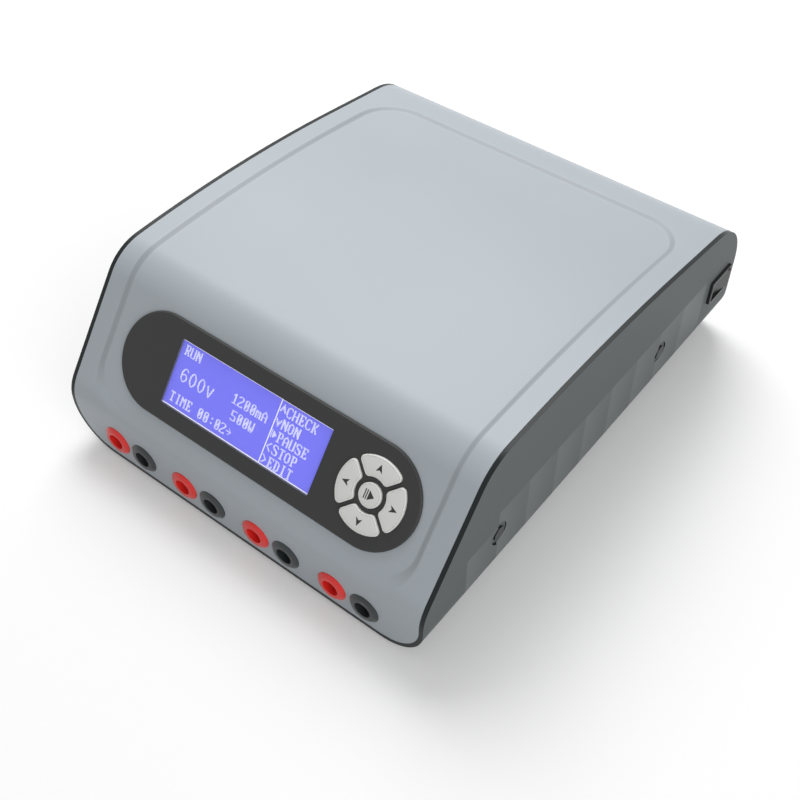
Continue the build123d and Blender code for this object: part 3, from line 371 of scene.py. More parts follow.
def paint_shade_on_field_wall(material, strength):
    """Painted shade: darkens the colour of the sunken field's crisp wall a little on all sides, in place of
    the shade on its tilted face, so that the eye finds its edge.
    """
    tree = material.node_tree
    shader = next(n for n in tree.nodes if n.type == "BSDF_PRINCIPLED")
    plain = shader.inputs["Base Color"].links[0].from_socket
    wall = add_node(tree, "ShaderNodeAttribute", attribute_name=FIELD_WALL)
    amount = add_node(tree, "ShaderNodeMath", {0: wall.outputs["Fac"], 1: strength}, operation="MULTIPLY")
    mix = add_node(
        tree, "ShaderNodeMix",
        {MIX_FACTOR: amount.outputs["Value"], MIX_FIRST: plain, MIX_SECOND: srgb("000000")}, data_type="RGBA"
    )
    feed(tree, shader, {"Base Color": mix.outputs[MIX_RESULT]})
    return material


def painted_louvre_blades(name, case, colours):
    """Smoother moulded plastic of the louvre blades with painted light and shade: a painted shadow at each
    step, a painted highlight beside it, then fading to the wall's tone, as a scooped blade would catch the
    light."""
    material, tree, shader = new_material(name)
    spot = add_node(tree, "ShaderNodeTexCoord").outputs["Object"]
    along = add_node(tree, "ShaderNodeSeparateXYZ", {"Vector": spot}).outputs["Y"]
    start = case.louvre_first - case.depth / 2
    steps = add_node(
        tree, "ShaderNodeMapRange",
        {"Value": along, "From Min": start, "From Max": start + case.louvre_pitch}, clamp=False
    )
    part = add_node(tree, "ShaderNodeMath", {0: steps.outputs["Result"]}, operation="FRACT")
    tone = add_node(
        tree, "ShaderNodeValToRGB", {"Fac": part.outputs["Value"]},
        # Painted shadow at the step, painted highlight just after it, then the wall's own tone
        stops=((0.0, colours.blade_painted_shadow), (0.12, colours.blade_painted_light), (0.85, colours.tub))
    )
    feed(tree, shader, {"Base Color": tone.outputs["Color"], "Roughness": 0.40, "Specular IOR Level": 0.2})
    return material


def metal(name, hex_code, roughness, stretch=(1.0, 1.0, 12.0), mark=1.111 * MM):
    """Drawn or plated metal: fine marks in one direction streak its reflections, and its tone varies
    slightly. The marks are drawn coarser than real, so that they show."""
    material, tree, shader = new_material(name)
    base = srgb(hex_code)
    spot = add_node(tree, "ShaderNodeTexCoord").outputs["Object"]
    drawn = add_node(tree, "ShaderNodeMapping", {"Vector": spot, "Scale": stretch}).outputs["Vector"]
    marks = add_node(tree, "ShaderNodeTexNoise", {"Vector": drawn, "Scale": 1.0 / mark, "Detail": 3.0})
    tone = add_node(
        tree, "ShaderNodeValToRGB", {"Fac": marks.outputs["Fac"]},
        stops=((DRIFT_FROM, scaled(base, 0.86)), (DRIFT_TO, scaled(base, 1.08)))
    )
    gloss = add_node(
        tree, "ShaderNodeMapRange",
        {"Value": marks.outputs["Fac"], "To Min": roughness * 0.8, "To Max": roughness * 1.3}
    )
    feed(tree, shader, {
        "Base Color": tone.outputs["Color"], "Roughness": gloss.outputs["Result"], "Metallic": 1.0,
    })
    return material


def circuit_board(name, track=5.556 * MM):
    """Printed laminate: the glossy green solder mask shows the copper tracks as a paler grid."""
    material, tree, shader = new_material(name)
    spot = add_node(tree, "ShaderNodeTexCoord").outputs["Object"]
    tracks = add_node(tree, "ShaderNodeTexBrick", {
        "Vector": spot, "Scale": 1.0 / track, "Mortar Size": 0.03,
        "Color1": srgb("12502A"), "Color2": srgb("15602F"), "Mortar": srgb("2B7A45"),
    })
    feed(tree, shader, {"Base Color": tracks.outputs["Color"], "Roughness": 0.35})
    return material


def display_glow(name, case, panel, colours):
    """Liquid crystal glass lit from behind: an even blue with a faint grid that lies along the slope."""
    material, tree, shader = new_material(name)
    spot = add_node(tree, "ShaderNodeTexCoord").outputs["Object"]
    turn = (case.slope_lean - math.radians(90), 0.0, 0.0)
    laid = add_node(tree, "ShaderNodeMapping", {"Vector": spot, "Rotation": turn}).outputs["Vector"]
    grid = add_node(
        tree, "ShaderNodeTexBrick",
        {
            "Vector": laid, "Scale": 1.0 / panel.grid_pitch, "Mortar Size": 0.06,
            "Brick Width": 1.0, "Row Height": 1.0, "Color1": colours.display,
            "Color2": colours.display_bright, "Mortar": colours.display_grid,
        },
        offset=0.0, squash=1.0
    ).outputs["Color"]
    feed(tree, shader, {
        "Base Color": grid, "Emission Color": grid, "Emission Strength": 0.45, "Roughness": 0.35,
    })
    return material


def display_ink(name, low, high, glow):
    """Lit dots or rules of the display: pale, with a slight unevenness as the light behind varies."""
    material, tree, shader = new_material(name)
    spot = add_node(tree, "ShaderNodeTexCoord").outputs["Object"]
    uneven = add_node(tree, "ShaderNodeTexNoise", {"Vector": spot, "Scale": 1.0 / (4 * MM)})
    tone = add_node(
        tree, "ShaderNodeValToRGB", {"Fac": uneven.outputs["Fac"]},
        stops=((DRIFT_FROM, low), (DRIFT_TO, high))
    ).outputs["Color"]
    feed(tree, shader, {
        "Base Color": tone, "Emission Color": tone, "Emission Strength": glow, "Roughness": 0.4,
    })
    return material


def clear_window(name):
    """Polished clear acrylic: nearly invisible, with highlights whose sharpness varies slightly."""
    material, tree, shader = new_material(name)
    spot = add_node(tree, "ShaderNodeTexCoord").outputs["Object"]
    uneven = add_node(tree, "ShaderNodeTexNoise", {"Vector": spot, "Scale": 1.0 / (6 * MM)})
    gloss = add_node(
        tree, "ShaderNodeMapRange", {"Value": uneven.outputs["Fac"], "To Min": 0.08, "To Max": 0.16}
    )
    feed(tree, shader, {
        "Roughness": gloss.outputs["Result"], "Base Color": srgb("F4F5FF"), "Alpha": 0.10,
    })
    return material


def outer_materials(case, panel, colours):
    """Materials of the pieces that show, by the name of the finish."""
    cover = moulded("Cover, moulded light grey ABS", colours.cover, 0.42)
    return {
        # Satin ABS: broad soft highlights, a little shine on the bends
        # Painted shade darkens the sunken field's tilted wall
        "cover": paint_shade_on_field_wall(cover, case.field_wall_painted_shade),
        # Coarser mould texture: the walls stay matt and even in tone
        "tub": moulded("Tub, moulded dark grey ABS", colours.tub, 0.55, specular=0.15),
        # Painted shadow at each louvre step and painted light beside it, on smoother moulded plastic
        "blade": painted_louvre_blades("Louvre blades, smooth moulded grey ABS", case, colours),
        # Smooth parting faces: a narrow near black line round the cover
        "rim": moulded("Rim, smooth moulded near black ABS", colours.rim, 0.36, specular=0.2),
        # Satin panel: reads as flat black beside the glowing display
        "panel": moulded("Control panel, satin moulded black ABS", colours.panel, 0.48, specular=0.2),
        # Glossier caps with a finer grain: a small highlight on each domed key
        "keys": moulded("Keys, moulded pale grey ABS", colours.keys, 0.34, grain=0.25 * MM),
        # Pad print: matt and flat, so that the marks stay readable
        "mark": moulded("Key marks, matt black pad print", colours.marks, 0.55, grain=0.1 * MM),
        # Glossy nylon: a bright ring of highlight round each bore
        "red": moulded("Sockets, moulded red nylon", colours.red, 0.28, relief=0.006 * MM),
        "black": moulded("Sockets, moulded black nylon", colours.black, 0.30, relief=0.006 * MM),
        "switch": moulded("Switch frame, moulded black nylon", colours.switch, 0.32),
        "rocker": moulded("Rocker, moulded dark red polycarbonate", colours.rocker, 0.30),
        "rocker_face": moulded("Rocker face, moulded grey polycarbonate", colours.rocker_face, 0.38),
        # Powder coat: an orange peel that breaks reflections up into a matt grey
        "rear": moulded(
            "Rear panel, dark powder coated steel", colours.rear, 0.60, grain=0.6 * MM, relief=0.03 * MM
        ),
        "glow": display_glow("Display, blue liquid crystal glass", case, panel, colours),
        "ink": display_ink("Display dots, lit pale lavender", colours.ink_low, colours.ink_high, 0.4),
        "rule": display_ink("Display rules, lit white", srgb("F2F2FF"), srgb("FFFFFF"), 0.5),
        "window": clear_window("Window, polished clear acrylic"),
    }


def inner_materials():
    """Materials of the fasteners, the feet and the pieces inside, by the name of the finish."""
    return {
        # Rubber: matt, with no highlight to speak of
        "rubber": moulded("Feet and key mat, moulded black rubber", srgb("2A2B2B"), 0.85, grain=0.5 * MM),
        "board": circuit_board("Circuit boards, green solder mask on laminate"),
        "brass": metal("Contacts, turned brass", "C8A25A", 0.30),
        # Burnished: dark, so that the side screws hardly stand out from the wall
        "dark_steel": metal("Side screws, burnished steel", "4A4D4F", 0.40),
        "steel": metal("Screws and guard, zinc plated steel", "B9BCBE", 0.32),
        "aluminium": metal("Heat sink, extruded aluminium", "C2C4C6", 0.40, stretch=(1.0, 0.1, 8.0)),
        # Sintered ferrite: a dull, slightly rough near black, as of stone
        "ferrite": moulded(
            "Transformer core, sintered ferrite", srgb("2E2F31"), 0.75, grain=0.8 * MM, relief=0.05 * MM
        ),
        # Polyester tape: glossy amber with hardly any grain
        "tape": moulded("Windings, amber polyester tape", srgb("C89A28"), 0.25, relief=0.004 * MM),
        "sleeve": moulded("Capacitors, dark blue PVC shrink sleeve", srgb("1E2F5A"), 0.30),
        # Glass: the smoothest finish, with sharp highlights
        "fuse": moulded("Fuses, drawn glass tubes", srgb("C9D2D2"), 0.10, relief=0.001 * MM),
        "frame": moulded("Display frame, moulded dark grey ABS", srgb("303233"), 0.55),
    }


# Finish of each CAD node. Keys and sockets get theirs from their names.
NODE_FINISH = {
    "lower_tub": "tub", "top_cover": "cover", "socket_panel": "cover", "display_panel": "panel",
    "display_window": "window", "display_glass": "glow", "display_frame": "frame", "key_mat": "rubber",
    "control_board": "board", "control_board_screws": "steel", "socket_contacts": "brass",
    "socket_nuts": "black", "output_board": "board", "switch_frame": "switch", "rocker": "rocker",
    "rocker_face": "rocker_face", "switch_terminals": "brass", "rear_panel": "rear", "fan_frame": "black",
    "fan_rotor": "black", "fan_guard": "steel", "fan_screws": "steel", "rear_panel_screws": "steel",
    "mains_inlet": "switch", "inlet_pins": "brass", "fuse_drawer": "switch", "fuses": "fuse",
    "power_board": "board", "power_board_screws": "steel", "heat_sink": "aluminium",
    "power_transistors": "black", "transformer_core": "ferrite", "transformer_winding": "tape",
    "reservoir_capacitors": "sleeve", "line_choke": "tape", "rubber_feet": "rubber",
    "foot_screws": "steel", "case_screws": "dark_steel",
}

# Outer keys and the angle in degrees at which each one's arrow points
KEYS = {"key_up": 90, "key_left": 180, "key_down": 270, "key_right": 0}

# Materials by finish, filled by the first step
MATERIALS = {}


def finish_of(node):
    """Name of the finish of a CAD node."""
    if node.startswith("key_") and node != "key_mat":
        return "keys"
    if node.startswith("socket_red"):
        return "red"
    if node.startswith("socket_black"):
        return "black"
    return NODE_FINISH[node]


def slope_plane(case):
    """Origin and axes of the slope: across, upwards along it and out of it."""
    lean = case.slope_lean
    along = Vector((0, math.sin(lean), math.cos(lean)))
    out = Vector((0, -math.cos(lean), math.sin(lean)))
    corner = Vector((0, -case.depth / 2, case.foot_height + case.front_corner))
    return corner + along * case.panel_rise, along, out


def slope_point(case, x, rise, level):
    """Point on the slope from its coordinates about the panel's centre line."""
    origin, along, out = slope_plane(case)
    return origin + Vector((x, 0, 0)) + along * rise + out * level


def mesh_object(name, vertices, faces, finish, smooth=True):
    """A mesh object at the origin with one material."""
    mesh = bpy.data.meshes.new(name)
    mesh.from_pydata([tuple(v) for v in vertices], [], faces)
    mesh.validate()
    mesh.polygons.foreach_set("use_smooth", [smooth] * len(mesh.polygons))
    mesh.materials.append(MATERIALS[finish])
    obj = bpy.data.objects.new(name, mesh)
    bpy.context.scene.collection.objects.link(obj)
    return obj


def smooth_all(mesh, angle=SHARP_SHEET):
    """Smooth shading on every face, with the edges over an angle kept sharp."""
    mesh.polygons.foreach_set("use_smooth", [True] * len(mesh.polygons))
    mesh.set_sharp_from_angle(angle=math.radians(angle))


def smooth_copy(node, body, angle=SHARP, bevel=0.0):
    """A copy of a CAD node with joined vertices, smooth curves and, if asked, softened edges."""
    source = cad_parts[node]
    mesh = source.data.copy()
    mesh.name = node + "_shown"
    obj = bpy.data.objects.new(mesh.name, mesh)
    bpy.context.scene.collection.objects.link(obj)
    work = bmesh.new()
    work.from_mesh(mesh)
    bmesh.ops.remove_doubles(work, verts=work.verts, dist=SAME_SPOT)
    bmesh.ops.dissolve_limit(
        work, angle_limit=math.radians(FLAT_ANGLE), verts=work.verts, edges=work.edges
    )
    if bevel:
        limit = math.radians(angle)
        sharp = [e for e in work.edges if len(e.link_faces) == 2 and e.calc_face_angle(0) > limit]
        bmesh.ops.bevel(
            work, geom=sharp, offset=bevel, segments=2, profile=0.6, affect="EDGES", clamp_overlap=True
        )
    work.to_mesh(mesh)
    work.free()
    smooth_all(mesh, angle)
    mesh.materials.clear()
    mesh.materials.append(MATERIALS[finish_of(node)])
    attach(obj, body)
    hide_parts(node)
    return obj


def finish_tub(obj, case):
    """Dark end faces along the tub's rim, smoother louvre blades with painted shadow and light, and walls
    without soft shading.
    """
    inner = case.width / 2 - case.tub_wall
    end = case.depth / 2
    near = 0.1 * MM
    edgewise, square, wallwise, blade_tilt = 0.05, 0.99, 0.998, -0.03
    for finish in ("rim", "blade"):
        obj.data.materials.append(MATERIALS[finish])
    for face in obj.data.polygons:
        across, along = abs(face.normal.x), abs(face.normal.y)
        on_outline = abs(face.center.x) > inner - near and across < edgewise
        at_end = along > square and abs(abs(face.center.y) - end) < near / 2
        if on_outline or at_end:
            face.material_index = 1
        elif across > wallwise:
            face.use_smooth = False
            if face.normal.y < blade_tilt:
                face.material_index = 2


def redden_cheeks(obj):
    """Gives the rocker face's upper and lower side the dark red of the rocker's body."""
    obj.data.materials.append(MATERIALS["rocker"])
    for face in obj.data.polygons:
        if abs(face.normal.z) > 0.99:
            face.material_index = 1


def soft_key(node, case):
    """A key as shown: its edges rounded and its face domed in a few steps towards the middle."""
    obj = smooth_copy(node, node + "_body", SHARP_KEY, KEY_EDGE)
    out = slope_plane(case)[2]
    work = bmesh.new()
    work.from_mesh(obj.data)
    work.normal_update()
    level = max(vert.co.dot(out) for vert in work.verts)
    flat = [face for face in work.faces if face.calc_center_median().dot(out) > level - 0.02 * MM]
    top = max(flat, key=lambda face: face.calc_area())
    for vert in top.verts:
        vert.co -= out * sum(lift for width, lift in KEY_DOME)
    for width, lift in KEY_DOME:
        bmesh.ops.inset_region(work, faces=[top], thickness=width, use_even_offset=True)
        for vert in top.verts:
            vert.co += out * lift
    work.to_mesh(obj.data)
    work.free()
    smooth_all(obj.data)


class Profile:
    """Side outline of the case as points with their heading, walked from the front's foot to the rear."""

    def __init__(self, y, z):
        self.y, self.z, self.heading = y, z, math.radians(90)
        self.points = [(y, z, self.heading)]

    def line(self, distance, step):
        """Goes straight on in equal steps."""
        count = max(1, math.ceil(distance / step))
        for _ in range(count):
            self.y += math.cos(self.heading) * distance / count
            self.z += math.sin(self.heading) * distance / count
            self.points.append((self.y, self.z, self.heading))

    def bend(self, radius, end_heading, step):
        """Goes round an arc to the right until it heads another way."""
        turn = self.heading - end_heading
        count = max(1, math.ceil(radius * turn / step))
        for _ in range(count):
            chord = 2 * radius * math.sin(turn / count / 2)
            middle = self.heading - turn / count / 2
            self.y += math.cos(middle) * chord
            self.z += math.sin(middle) * chord
            self.heading -= turn / count
            self.points.append((self.y, self.z, self.heading))


def cover_profile(case):
    """Points of the cover's outer outline with fine steps where the shape changes."""
    front, base = -case.depth / 2, case.foot_height
    start = base + case.tub_wall + case.shell_gap
    slope_heading = math.radians(90) - case.slope_lean
    front_tangent = case.front_bend * math.tan(case.slope_lean / 2)
    corner = Vector((front, base + case.front_corner))
    along = Vector((math.cos(slope_heading), math.sin(slope_heading)))
    inward = Vector((along.y, -along.x))
    # The top bend's centre lies on a line beside the slope, at a known distance from the crown's centre
    crown_centre = Vector((front + case.crown_setback, base + case.crown_height - case.crown_radius))
    to_centre = corner + inward * case.top_bend - crown_centre
    half = to_centre.dot(along)
    reach = case.crown_radius - case.top_bend
    run = math.sqrt(half ** 2 - to_centre.length_squared + reach ** 2) - half
    bend_centre = corner + along * run + inward * case.top_bend
    normal = (bend_centre - crown_centre) / reach
    crown_heading = math.atan2(-normal.x, normal.y)
    end_heading = -math.asin((case.crown_end - case.crown_setback) / case.crown_radius)
    end = crown_centre + case.crown_radius * Vector((-math.sin(end_heading), math.cos(end_heading)))
    rear_turn = math.radians(90) + end_heading
    rear_tangent = case.rear_bend * math.tan(rear_turn / 2)
    rear_run = (-front - end.x) / math.cos(end_heading) - rear_tangent

    walk = Profile(front, start)
    walk.line(base + case.front_corner - front_tangent - start, FLAT_STEP)
    walk.bend(case.front_bend, slope_heading, BEND_STEP)
    walk.line(run - front_tangent, FLAT_STEP)
    walk.bend(case.top_bend, crown_heading, FLAT_STEP)
    walk.bend(case.crown_radius, end_heading, CROWN_STEP)
    walk.line(rear_run * PLAIN_SHARE, CROWN_STEP)
    walk.line(rear_run * (1 - PLAIN_SHARE), BEND_STEP)
    walk.bend(case.rear_bend, math.radians(-90), REAR_BEND_STEP)
    walk.line(max(walk.z - base - case.rear_edge, FLAT_STEP), REAR_STEP)
    return walk.points


def smoothstep(value):
    """Nought to one with soft ends."""
    value = min(1.0, max(0.0, value))
    return value * value * (3 - 2 * value)


def field_sink(case, x, y, z):
    """Depth of the sunken field at a point of the outline, and how far the point is on its crisp wall."""
    origin, along, out = slope_plane(case)
    across = abs(x) - case.field_half_width
    radius = case.field_corner
    wall = case.field_wall
    softness = 0.0
    if y < -case.depth / 2 + case.crown_setback / 2:
        beyond = -case.field_drop - (Vector((0, y, z)) - origin).dot(along)
        softness = smoothstep((beyond + radius) / radius)
        wall += (case.field_ramp - case.field_wall) * softness
    else:
        beyond = y - (-case.depth / 2 + case.field_setback)
    ax, by = max(across + radius, 0.0), max(beyond + radius, 0.0)
    outside = math.hypot(ax, by) - radius + min(max(across + radius, beyond + radius), 0.0)
    sunk = min(1.0, max(0.0, 0.5 - outside / wall))
    depth = case.field_depth * (sunk + (smoothstep(sunk) - sunk) * softness)
    # One over the middle of the wall, and falling to nought at its two edges; it weights the wall's painted
    # shade
    on_wall = min(1.0, 6 * sunk * (1 - sunk)) * (1 - softness)
    return depth, on_wall


def refined_columns(half, fine_from, fine_to, coarse, fine):
    """X positions from -half to half, closer together between two distances from the middle."""
    right = [0.0]
    while right[-1] < half:
        step = fine if fine_from < right[-1] < fine_to else coarse
        right.append(min(half, right[-1] + step))
    return [-x for x in reversed(right[1:])] + right


def socket_centres(settings):
    """X of the red and of the black sockets."""
    first = settings.pair_centre - (settings.pairs - 1) / 2 * settings.pair_pitch
    pairs = [first + i * settings.pair_pitch for i in range(settings.pairs)]
    return [p - settings.spacing / 2 for p in pairs], [p + settings.spacing / 2 for p in pairs]


class SUPPLY_OT_materials(bpy.types.Operator):
    """Makes the materials and gives every CAD node its own finish"""
    bl_idname = "supply.materials"
    bl_label = "Materials"

    def execute(self, context):
        scene = context.scene
        MATERIALS.update(outer_materials(scene.supply_case, scene.supply_display, scene.supply_colours))
        MATERIALS.update(inner_materials())
        for node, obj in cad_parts.items():
            obj.data.materials.clear()
            obj.data.materials.append(MATERIALS[finish_of(node)])
        return {"FINISHED"}


class SUPPLY_OT_cover(bpy.types.Operator):
    """Builds the light cover as one smooth sheet with the soft walls of its sunken field"""
    bl_idname = "supply.cover"
    bl_label = "Cover"

    def execute(self, context):
        case = context.scene.supply_case
        panel = context.scene.supply_display
        sockets = context.scene.supply_sockets
        points = cover_profile(case)
        inset = case.tub_wall + case.shell_gap
        half = case.width / 2 - inset
        wall, margin = case.field_half_width, case.field_margin
        columns = refined_columns(half, wall - margin, wall + margin, WIDE_COLUMN, FINE_COLUMN)
        origin, along, out = slope_plane(case)
        reds, blacks = socket_centres(sockets)
        socket_z = case.foot_height + sockets.height
        hole_half = (panel.panel_length - panel.panel_height) / 2
        hole_radius = panel.panel_height / 2 - panel.panel_lap
        on_slope, front_face = 3 * MM, -case.depth / 2 + 2 * MM

        vertices, walls = [], []
        for y, z, heading in points:
            # The sheet narrows where it stands between the tub's round lower edges
            lift = case.foot_height + case.corner_radius - z
            row_half = half
            if lift > 0:
                radius = case.corner_radius - inset
                row_half = case.width / 2 - case.corner_radius + math.sqrt(max(radius ** 2 - lift ** 2, 0.0))
            for x in columns:
                x *= row_half / half
                sink, on_wall = field_sink(case, x, y, z)
                walls.append(on_wall)
                vertices.append((x, y + math.sin(heading) * sink, z - math.cos(heading) * sink))

        def is_open(index):
            """Whether a point lies in the panel's hole or in a socket's hole."""
            point = Vector(vertices[index])
            rise = (point - origin).dot(along)
            level = (point - origin).dot(out)
            dx = max(abs(point.x - panel.panel_centre) - hole_half, 0.0)
            if abs(level) < on_slope and math.hypot(dx, rise) < hole_radius:
                return True
            if point.y > front_face or point.z > case.foot_height + case.front_corner:
                return False
            gaps = [math.hypot(point.x - x, point.z - socket_z) for x in reds + blacks]
            return min(gaps) < sockets.clearance

        open_points = [is_open(i) for i in range(len(vertices))]
        width = len(columns)
        faces = []
        for row in range(len(points) - 1):
            for column in range(width - 1):
                first = row * width + column
                corners = (first, first + 1, first + width + 1, first + width)
                if not any(open_points[i] for i in corners):
                    faces.append(corners)
        obj = mesh_object("cover_sheet", vertices, faces, "cover")
        obj.data.attributes.new(FIELD_WALL, "FLOAT", "POINT").data.foreach_set("value", walls)
        self.turn_edges_in(obj.data, case.cover_wall)
        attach(obj, CASE_BODY)
        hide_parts("top_cover", "socket_panel")
        return {"FINISHED"}

    def turn_edges_in(self, mesh, thickness):
        """Gives the sheet its thickness along every free edge."""
        work = bmesh.new()
        work.from_mesh(mesh)
        loose = [v for v in work.verts if not v.link_faces]
        bmesh.ops.delete(work, geom=loose, context="VERTS")
        work.normal_update()
        rim = [e for e in work.edges if e.is_boundary]
        before = {v: v.normal.copy() for e in rim for v in e.verts}
        made = bmesh.ops.extrude_edge_only(work, edges=rim)["geom"]
        new = [v for v in made if isinstance(v, bmesh.types.BMVert)]
        spots = {tuple(round(c, 7) for c in v.co): n for v, n in before.items()}
        for vert in new:
            vert.co -= spots[tuple(round(c, 7) for c in vert.co)] * thickness
        work.to_mesh(mesh)
        work.free()
        smooth_all(mesh)


class SUPPLY_OT_shells(bpy.types.Operator):
    """Replaces the curved CAD nodes with smoothly shaded copies"""
    bl_idname = "supply.shells"
    bl_label = "Smooth shells"

    def execute(self, context):
        case = context.scene.supply_case
        finish_tub(smooth_copy("lower_tub", CASE_BODY, SHARP_OUTLINE), case)
        smooth_copy("display_panel", CASE_BODY, SHARP_OUTLINE)
        sockets = [
            f"socket_{finish}_{i}" for i in range(1, context.scene.supply_sockets.pairs + 1)
            for finish in ("red", "black")
        ]
        for node in ["rear_panel"] + sockets + [
            "socket_contacts", "rubber_feet", "fan_frame", "fan_guard", "switch_frame", "mains_inlet",
            "case_screws", "fan_screws", "rear_panel_screws", "foot_screws",
        ]:
            smooth_copy(node, CASE_BODY)
        smooth_copy("fan_rotor", "fan_rotor_body")
        smooth_copy("rocker", "rocker_body")
        redden_cheeks(smooth_copy("rocker_face", "rocker_body"))
        smooth_copy("fuse_drawer", "fuse_drawer_body")
        for node in ["key_centre"] + list(KEYS):
            soft_key(node, case)
        return {"FINISHED"}


def arrow_outline(size):
    """Notched arrowhead that points along +X, with its corners at shares of its size."""
    return [(0.5 * size, 0.0), (-0.45 * size, 0.42 * size), (-0.2 * size, 0.0), (-0.45 * size, -0.42 * size)]


def run_mark():
    """Two bars and a triangle of the run mark, in shares of an arrow's size."""
    half_height, bar = 0.58, 0.13
    bars = [
        [(x, -half_height), (x + bar, -half_height), (x + bar, half_height), (x, half_height)]
        for x in (-0.62, -0.36)
    ]
    return bars + [[(-0.10, -half_height), (0.66, 0.0), (-0.10, half_height)]]


class SUPPLY_OT_key_marks(bpy.types.Operator):
    """Prints an arrow on each outer key and the run mark on the centre key"""
    bl_idname = "supply.key_marks"
    bl_label = "Key marks"

    def execute(self, context):
        case = context.scene.supply_case
        panel = context.scene.supply_display
        level = panel.key_level + PRINT_LIFT

        def mark(name, body, outlines):
            """One printed mark of flat outlines, which moves with its key."""
            vertices, faces = [], []
            for outline in outlines:
                first = len(vertices)
                vertices += [slope_point(case, x, rise, level) for x, rise in outline]
                faces.append(list(range(first, first + len(outline))))
            obj = mesh_object(name, vertices, faces, "mark", smooth=False)
            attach(obj, body)

        for node, angle in KEYS.items():
            turn = math.radians(angle)
            outline = [
                (
                    panel.key_centre + math.cos(turn) * (panel.key_ring + u) - math.sin(turn) * v,
                    math.sin(turn) * (panel.key_ring + u) + math.cos(turn) * v,
                )
                for u, v in arrow_outline(panel.arrow_size)
            ]
            mark(node + "_arrow", node + "_body", [outline[:3], [outline[0], outline[2], outline[3]]])
        outlines = [
            [(panel.key_centre + x * panel.arrow_size, y * panel.arrow_size) for x, y in shape]
            for shape in run_mark()
        ]
        mark("key_centre_mark", "key_centre_body", outlines)
        return {"FINISHED"}


def dot_nodes(name, dot_material):
    """Node group that lays a flat square dot on each point, turned into the slope."""
    group = bpy.data.node_groups.new(name, "GeometryNodeTree")
    group.interface.new_socket("Points", in_out="INPUT", socket_type="NodeSocketGeometry")
    group.interface.new_socket("Dot size", in_out="INPUT", socket_type="NodeSocketFloat")
    group.interface.new_socket("Slope turn", in_out="INPUT", socket_type="NodeSocketFloat")
    group.interface.new_socket("Geometry", in_out="OUTPUT", socket_type="NodeSocketGeometry")
    given = add_node(group, "NodeGroupInput").outputs
    side = given["Dot size"]
    dot = add_node(
        group, "GeometryNodeMeshGrid", {"Size X": side, "Size Y": side, "Vertices X": 2, "Vertices Y": 2}
    )
    turn = add_node(group, "ShaderNodeCombineXYZ", {"X": given["Slope turn"]})
    laid = add_node(group, "GeometryNodeInstanceOnPoints", {
        "Points": given["Points"], "Instance": dot.outputs["Mesh"], "Rotation": turn.outputs["Vector"],
    })
    real = add_node(group, "GeometryNodeRealizeInstances", {"Geometry": laid.outputs["Instances"]})
    finish = add_node(
        group, "GeometryNodeSetMaterial", {"Geometry": real.outputs["Geometry"], "Material": dot_material}
    )
    add_node(group, "NodeGroupOutput", {"Geometry": finish.outputs["Geometry"]})
    return group


class SUPPLY_OT_readout(bpy.types.Operator):
    """Lights the display's words and figures dot by dot, with the rules round its two fields"""
    bl_idname = "supply.readout"
    bl_label = "Readout"

    def execute(self, context):
        case = context.scene.supply_case
        panel = context.scene.supply_display
        level = panel.glass_level + DOT_LIFT
        left = panel.screen_centre - panel.screen_width / 2
        top = panel.screen_height / 2
        pitch = panel.dot_pitch
        points = []

        def write(words, x, y, glyphs, advance):
            """Words from their upper left corner, in millimetres from the screen's corner."""
            for order, letter in enumerate(words):
                for row, dots in enumerate(glyphs[letter].split()):
                    for column, dot in enumerate(dots):
                        if dot == "#":
                            px = left + x * MM + (order * advance + column + 0.5) * pitch
                            py = top - y * MM - (row + 0.5) * pitch
                            points.append(slope_point(case, px, py, level))

        write(*WORD_LINES[0], LETTERS, LETTER_ADVANCE)
        write(*FIGURE_LINE, FIGURES, FIGURE_ADVANCE)
        for line in WORD_LINES[1:]:
            write(*line, LETTERS, LETTER_ADVANCE)
        for row, words in enumerate(MENU):
            write(words, MENU_LEFT, MENU_TOP + MENU_ROW * row, LETTERS, LETTER_ADVANCE)

        mesh = bpy.data.meshes.new("readout_points")
        mesh.from_pydata([tuple(p) for p in points], [], [])
        source = bpy.data.objects.new("readout_points", mesh)
        context.scene.collection.objects.link(source)
        group = dot_nodes("Display dots", MATERIALS["ink"])
        modifier = source.modifiers.new("Dots", "NODES")
        modifier.node_group = group
        sockets = {s.name: s.identifier for s in group.interface.items_tree if s.in_out == "INPUT"}
        modifier[sockets["Dot size"]] = pitch * panel.dot_fill
        modifier[sockets["Slope turn"]] = math.radians(90) - case.slope_lean
        context.view_layer.update()
        evaluated = source.evaluated_get(context.evaluated_depsgraph_get())
        shown = bpy.data.meshes.new_from_object(evaluated)
        bpy.data.objects.remove(source)
        obj = bpy.data.objects.new("readout_dots", shown)
        context.scene.collection.objects.link(obj)
        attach(obj, CASE_BODY)
        self.rule_lines(context, level)
        return {"FINISHED"}

    def rule_lines(self, context, level):
        """Thin bright rules along the screen's edges and between its two fields."""
        case = context.scene.supply_case
        panel = context.scene.supply_display
        half_x, half_y = panel.screen_width / 2 - RULE_INSET, panel.screen_height / 2 - RULE_INSET
        cx = panel.screen_centre
        split = cx - panel.screen_width / 2 + panel.screen_width * panel.divider
        thick = panel.rule_width
        bars = [
            (cx - half_x, half_y - thick, cx + half_x, half_y),
            (cx - half_x, -half_y, cx + half_x, -half_y + thick),
            (split, -half_y + thick, split + thick, half_y - thick),
            (cx + half_x - thick / 2, -half_y + thick, cx + half_x, half_y - thick),
        ]
        vertices, faces = [], []
        for x0, y0, x1, y1 in bars:
            first = len(vertices)
            for x, y in ((x0, y0), (x1, y0), (x1, y1), (x0, y1)):
                vertices.append(slope_point(case, x, y, level))
            faces.append((first, first + 1, first + 2, first + 3))
        obj = mesh_object("readout_rules", vertices, faces, "rule", smooth=False)
        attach(obj, CASE_BODY)


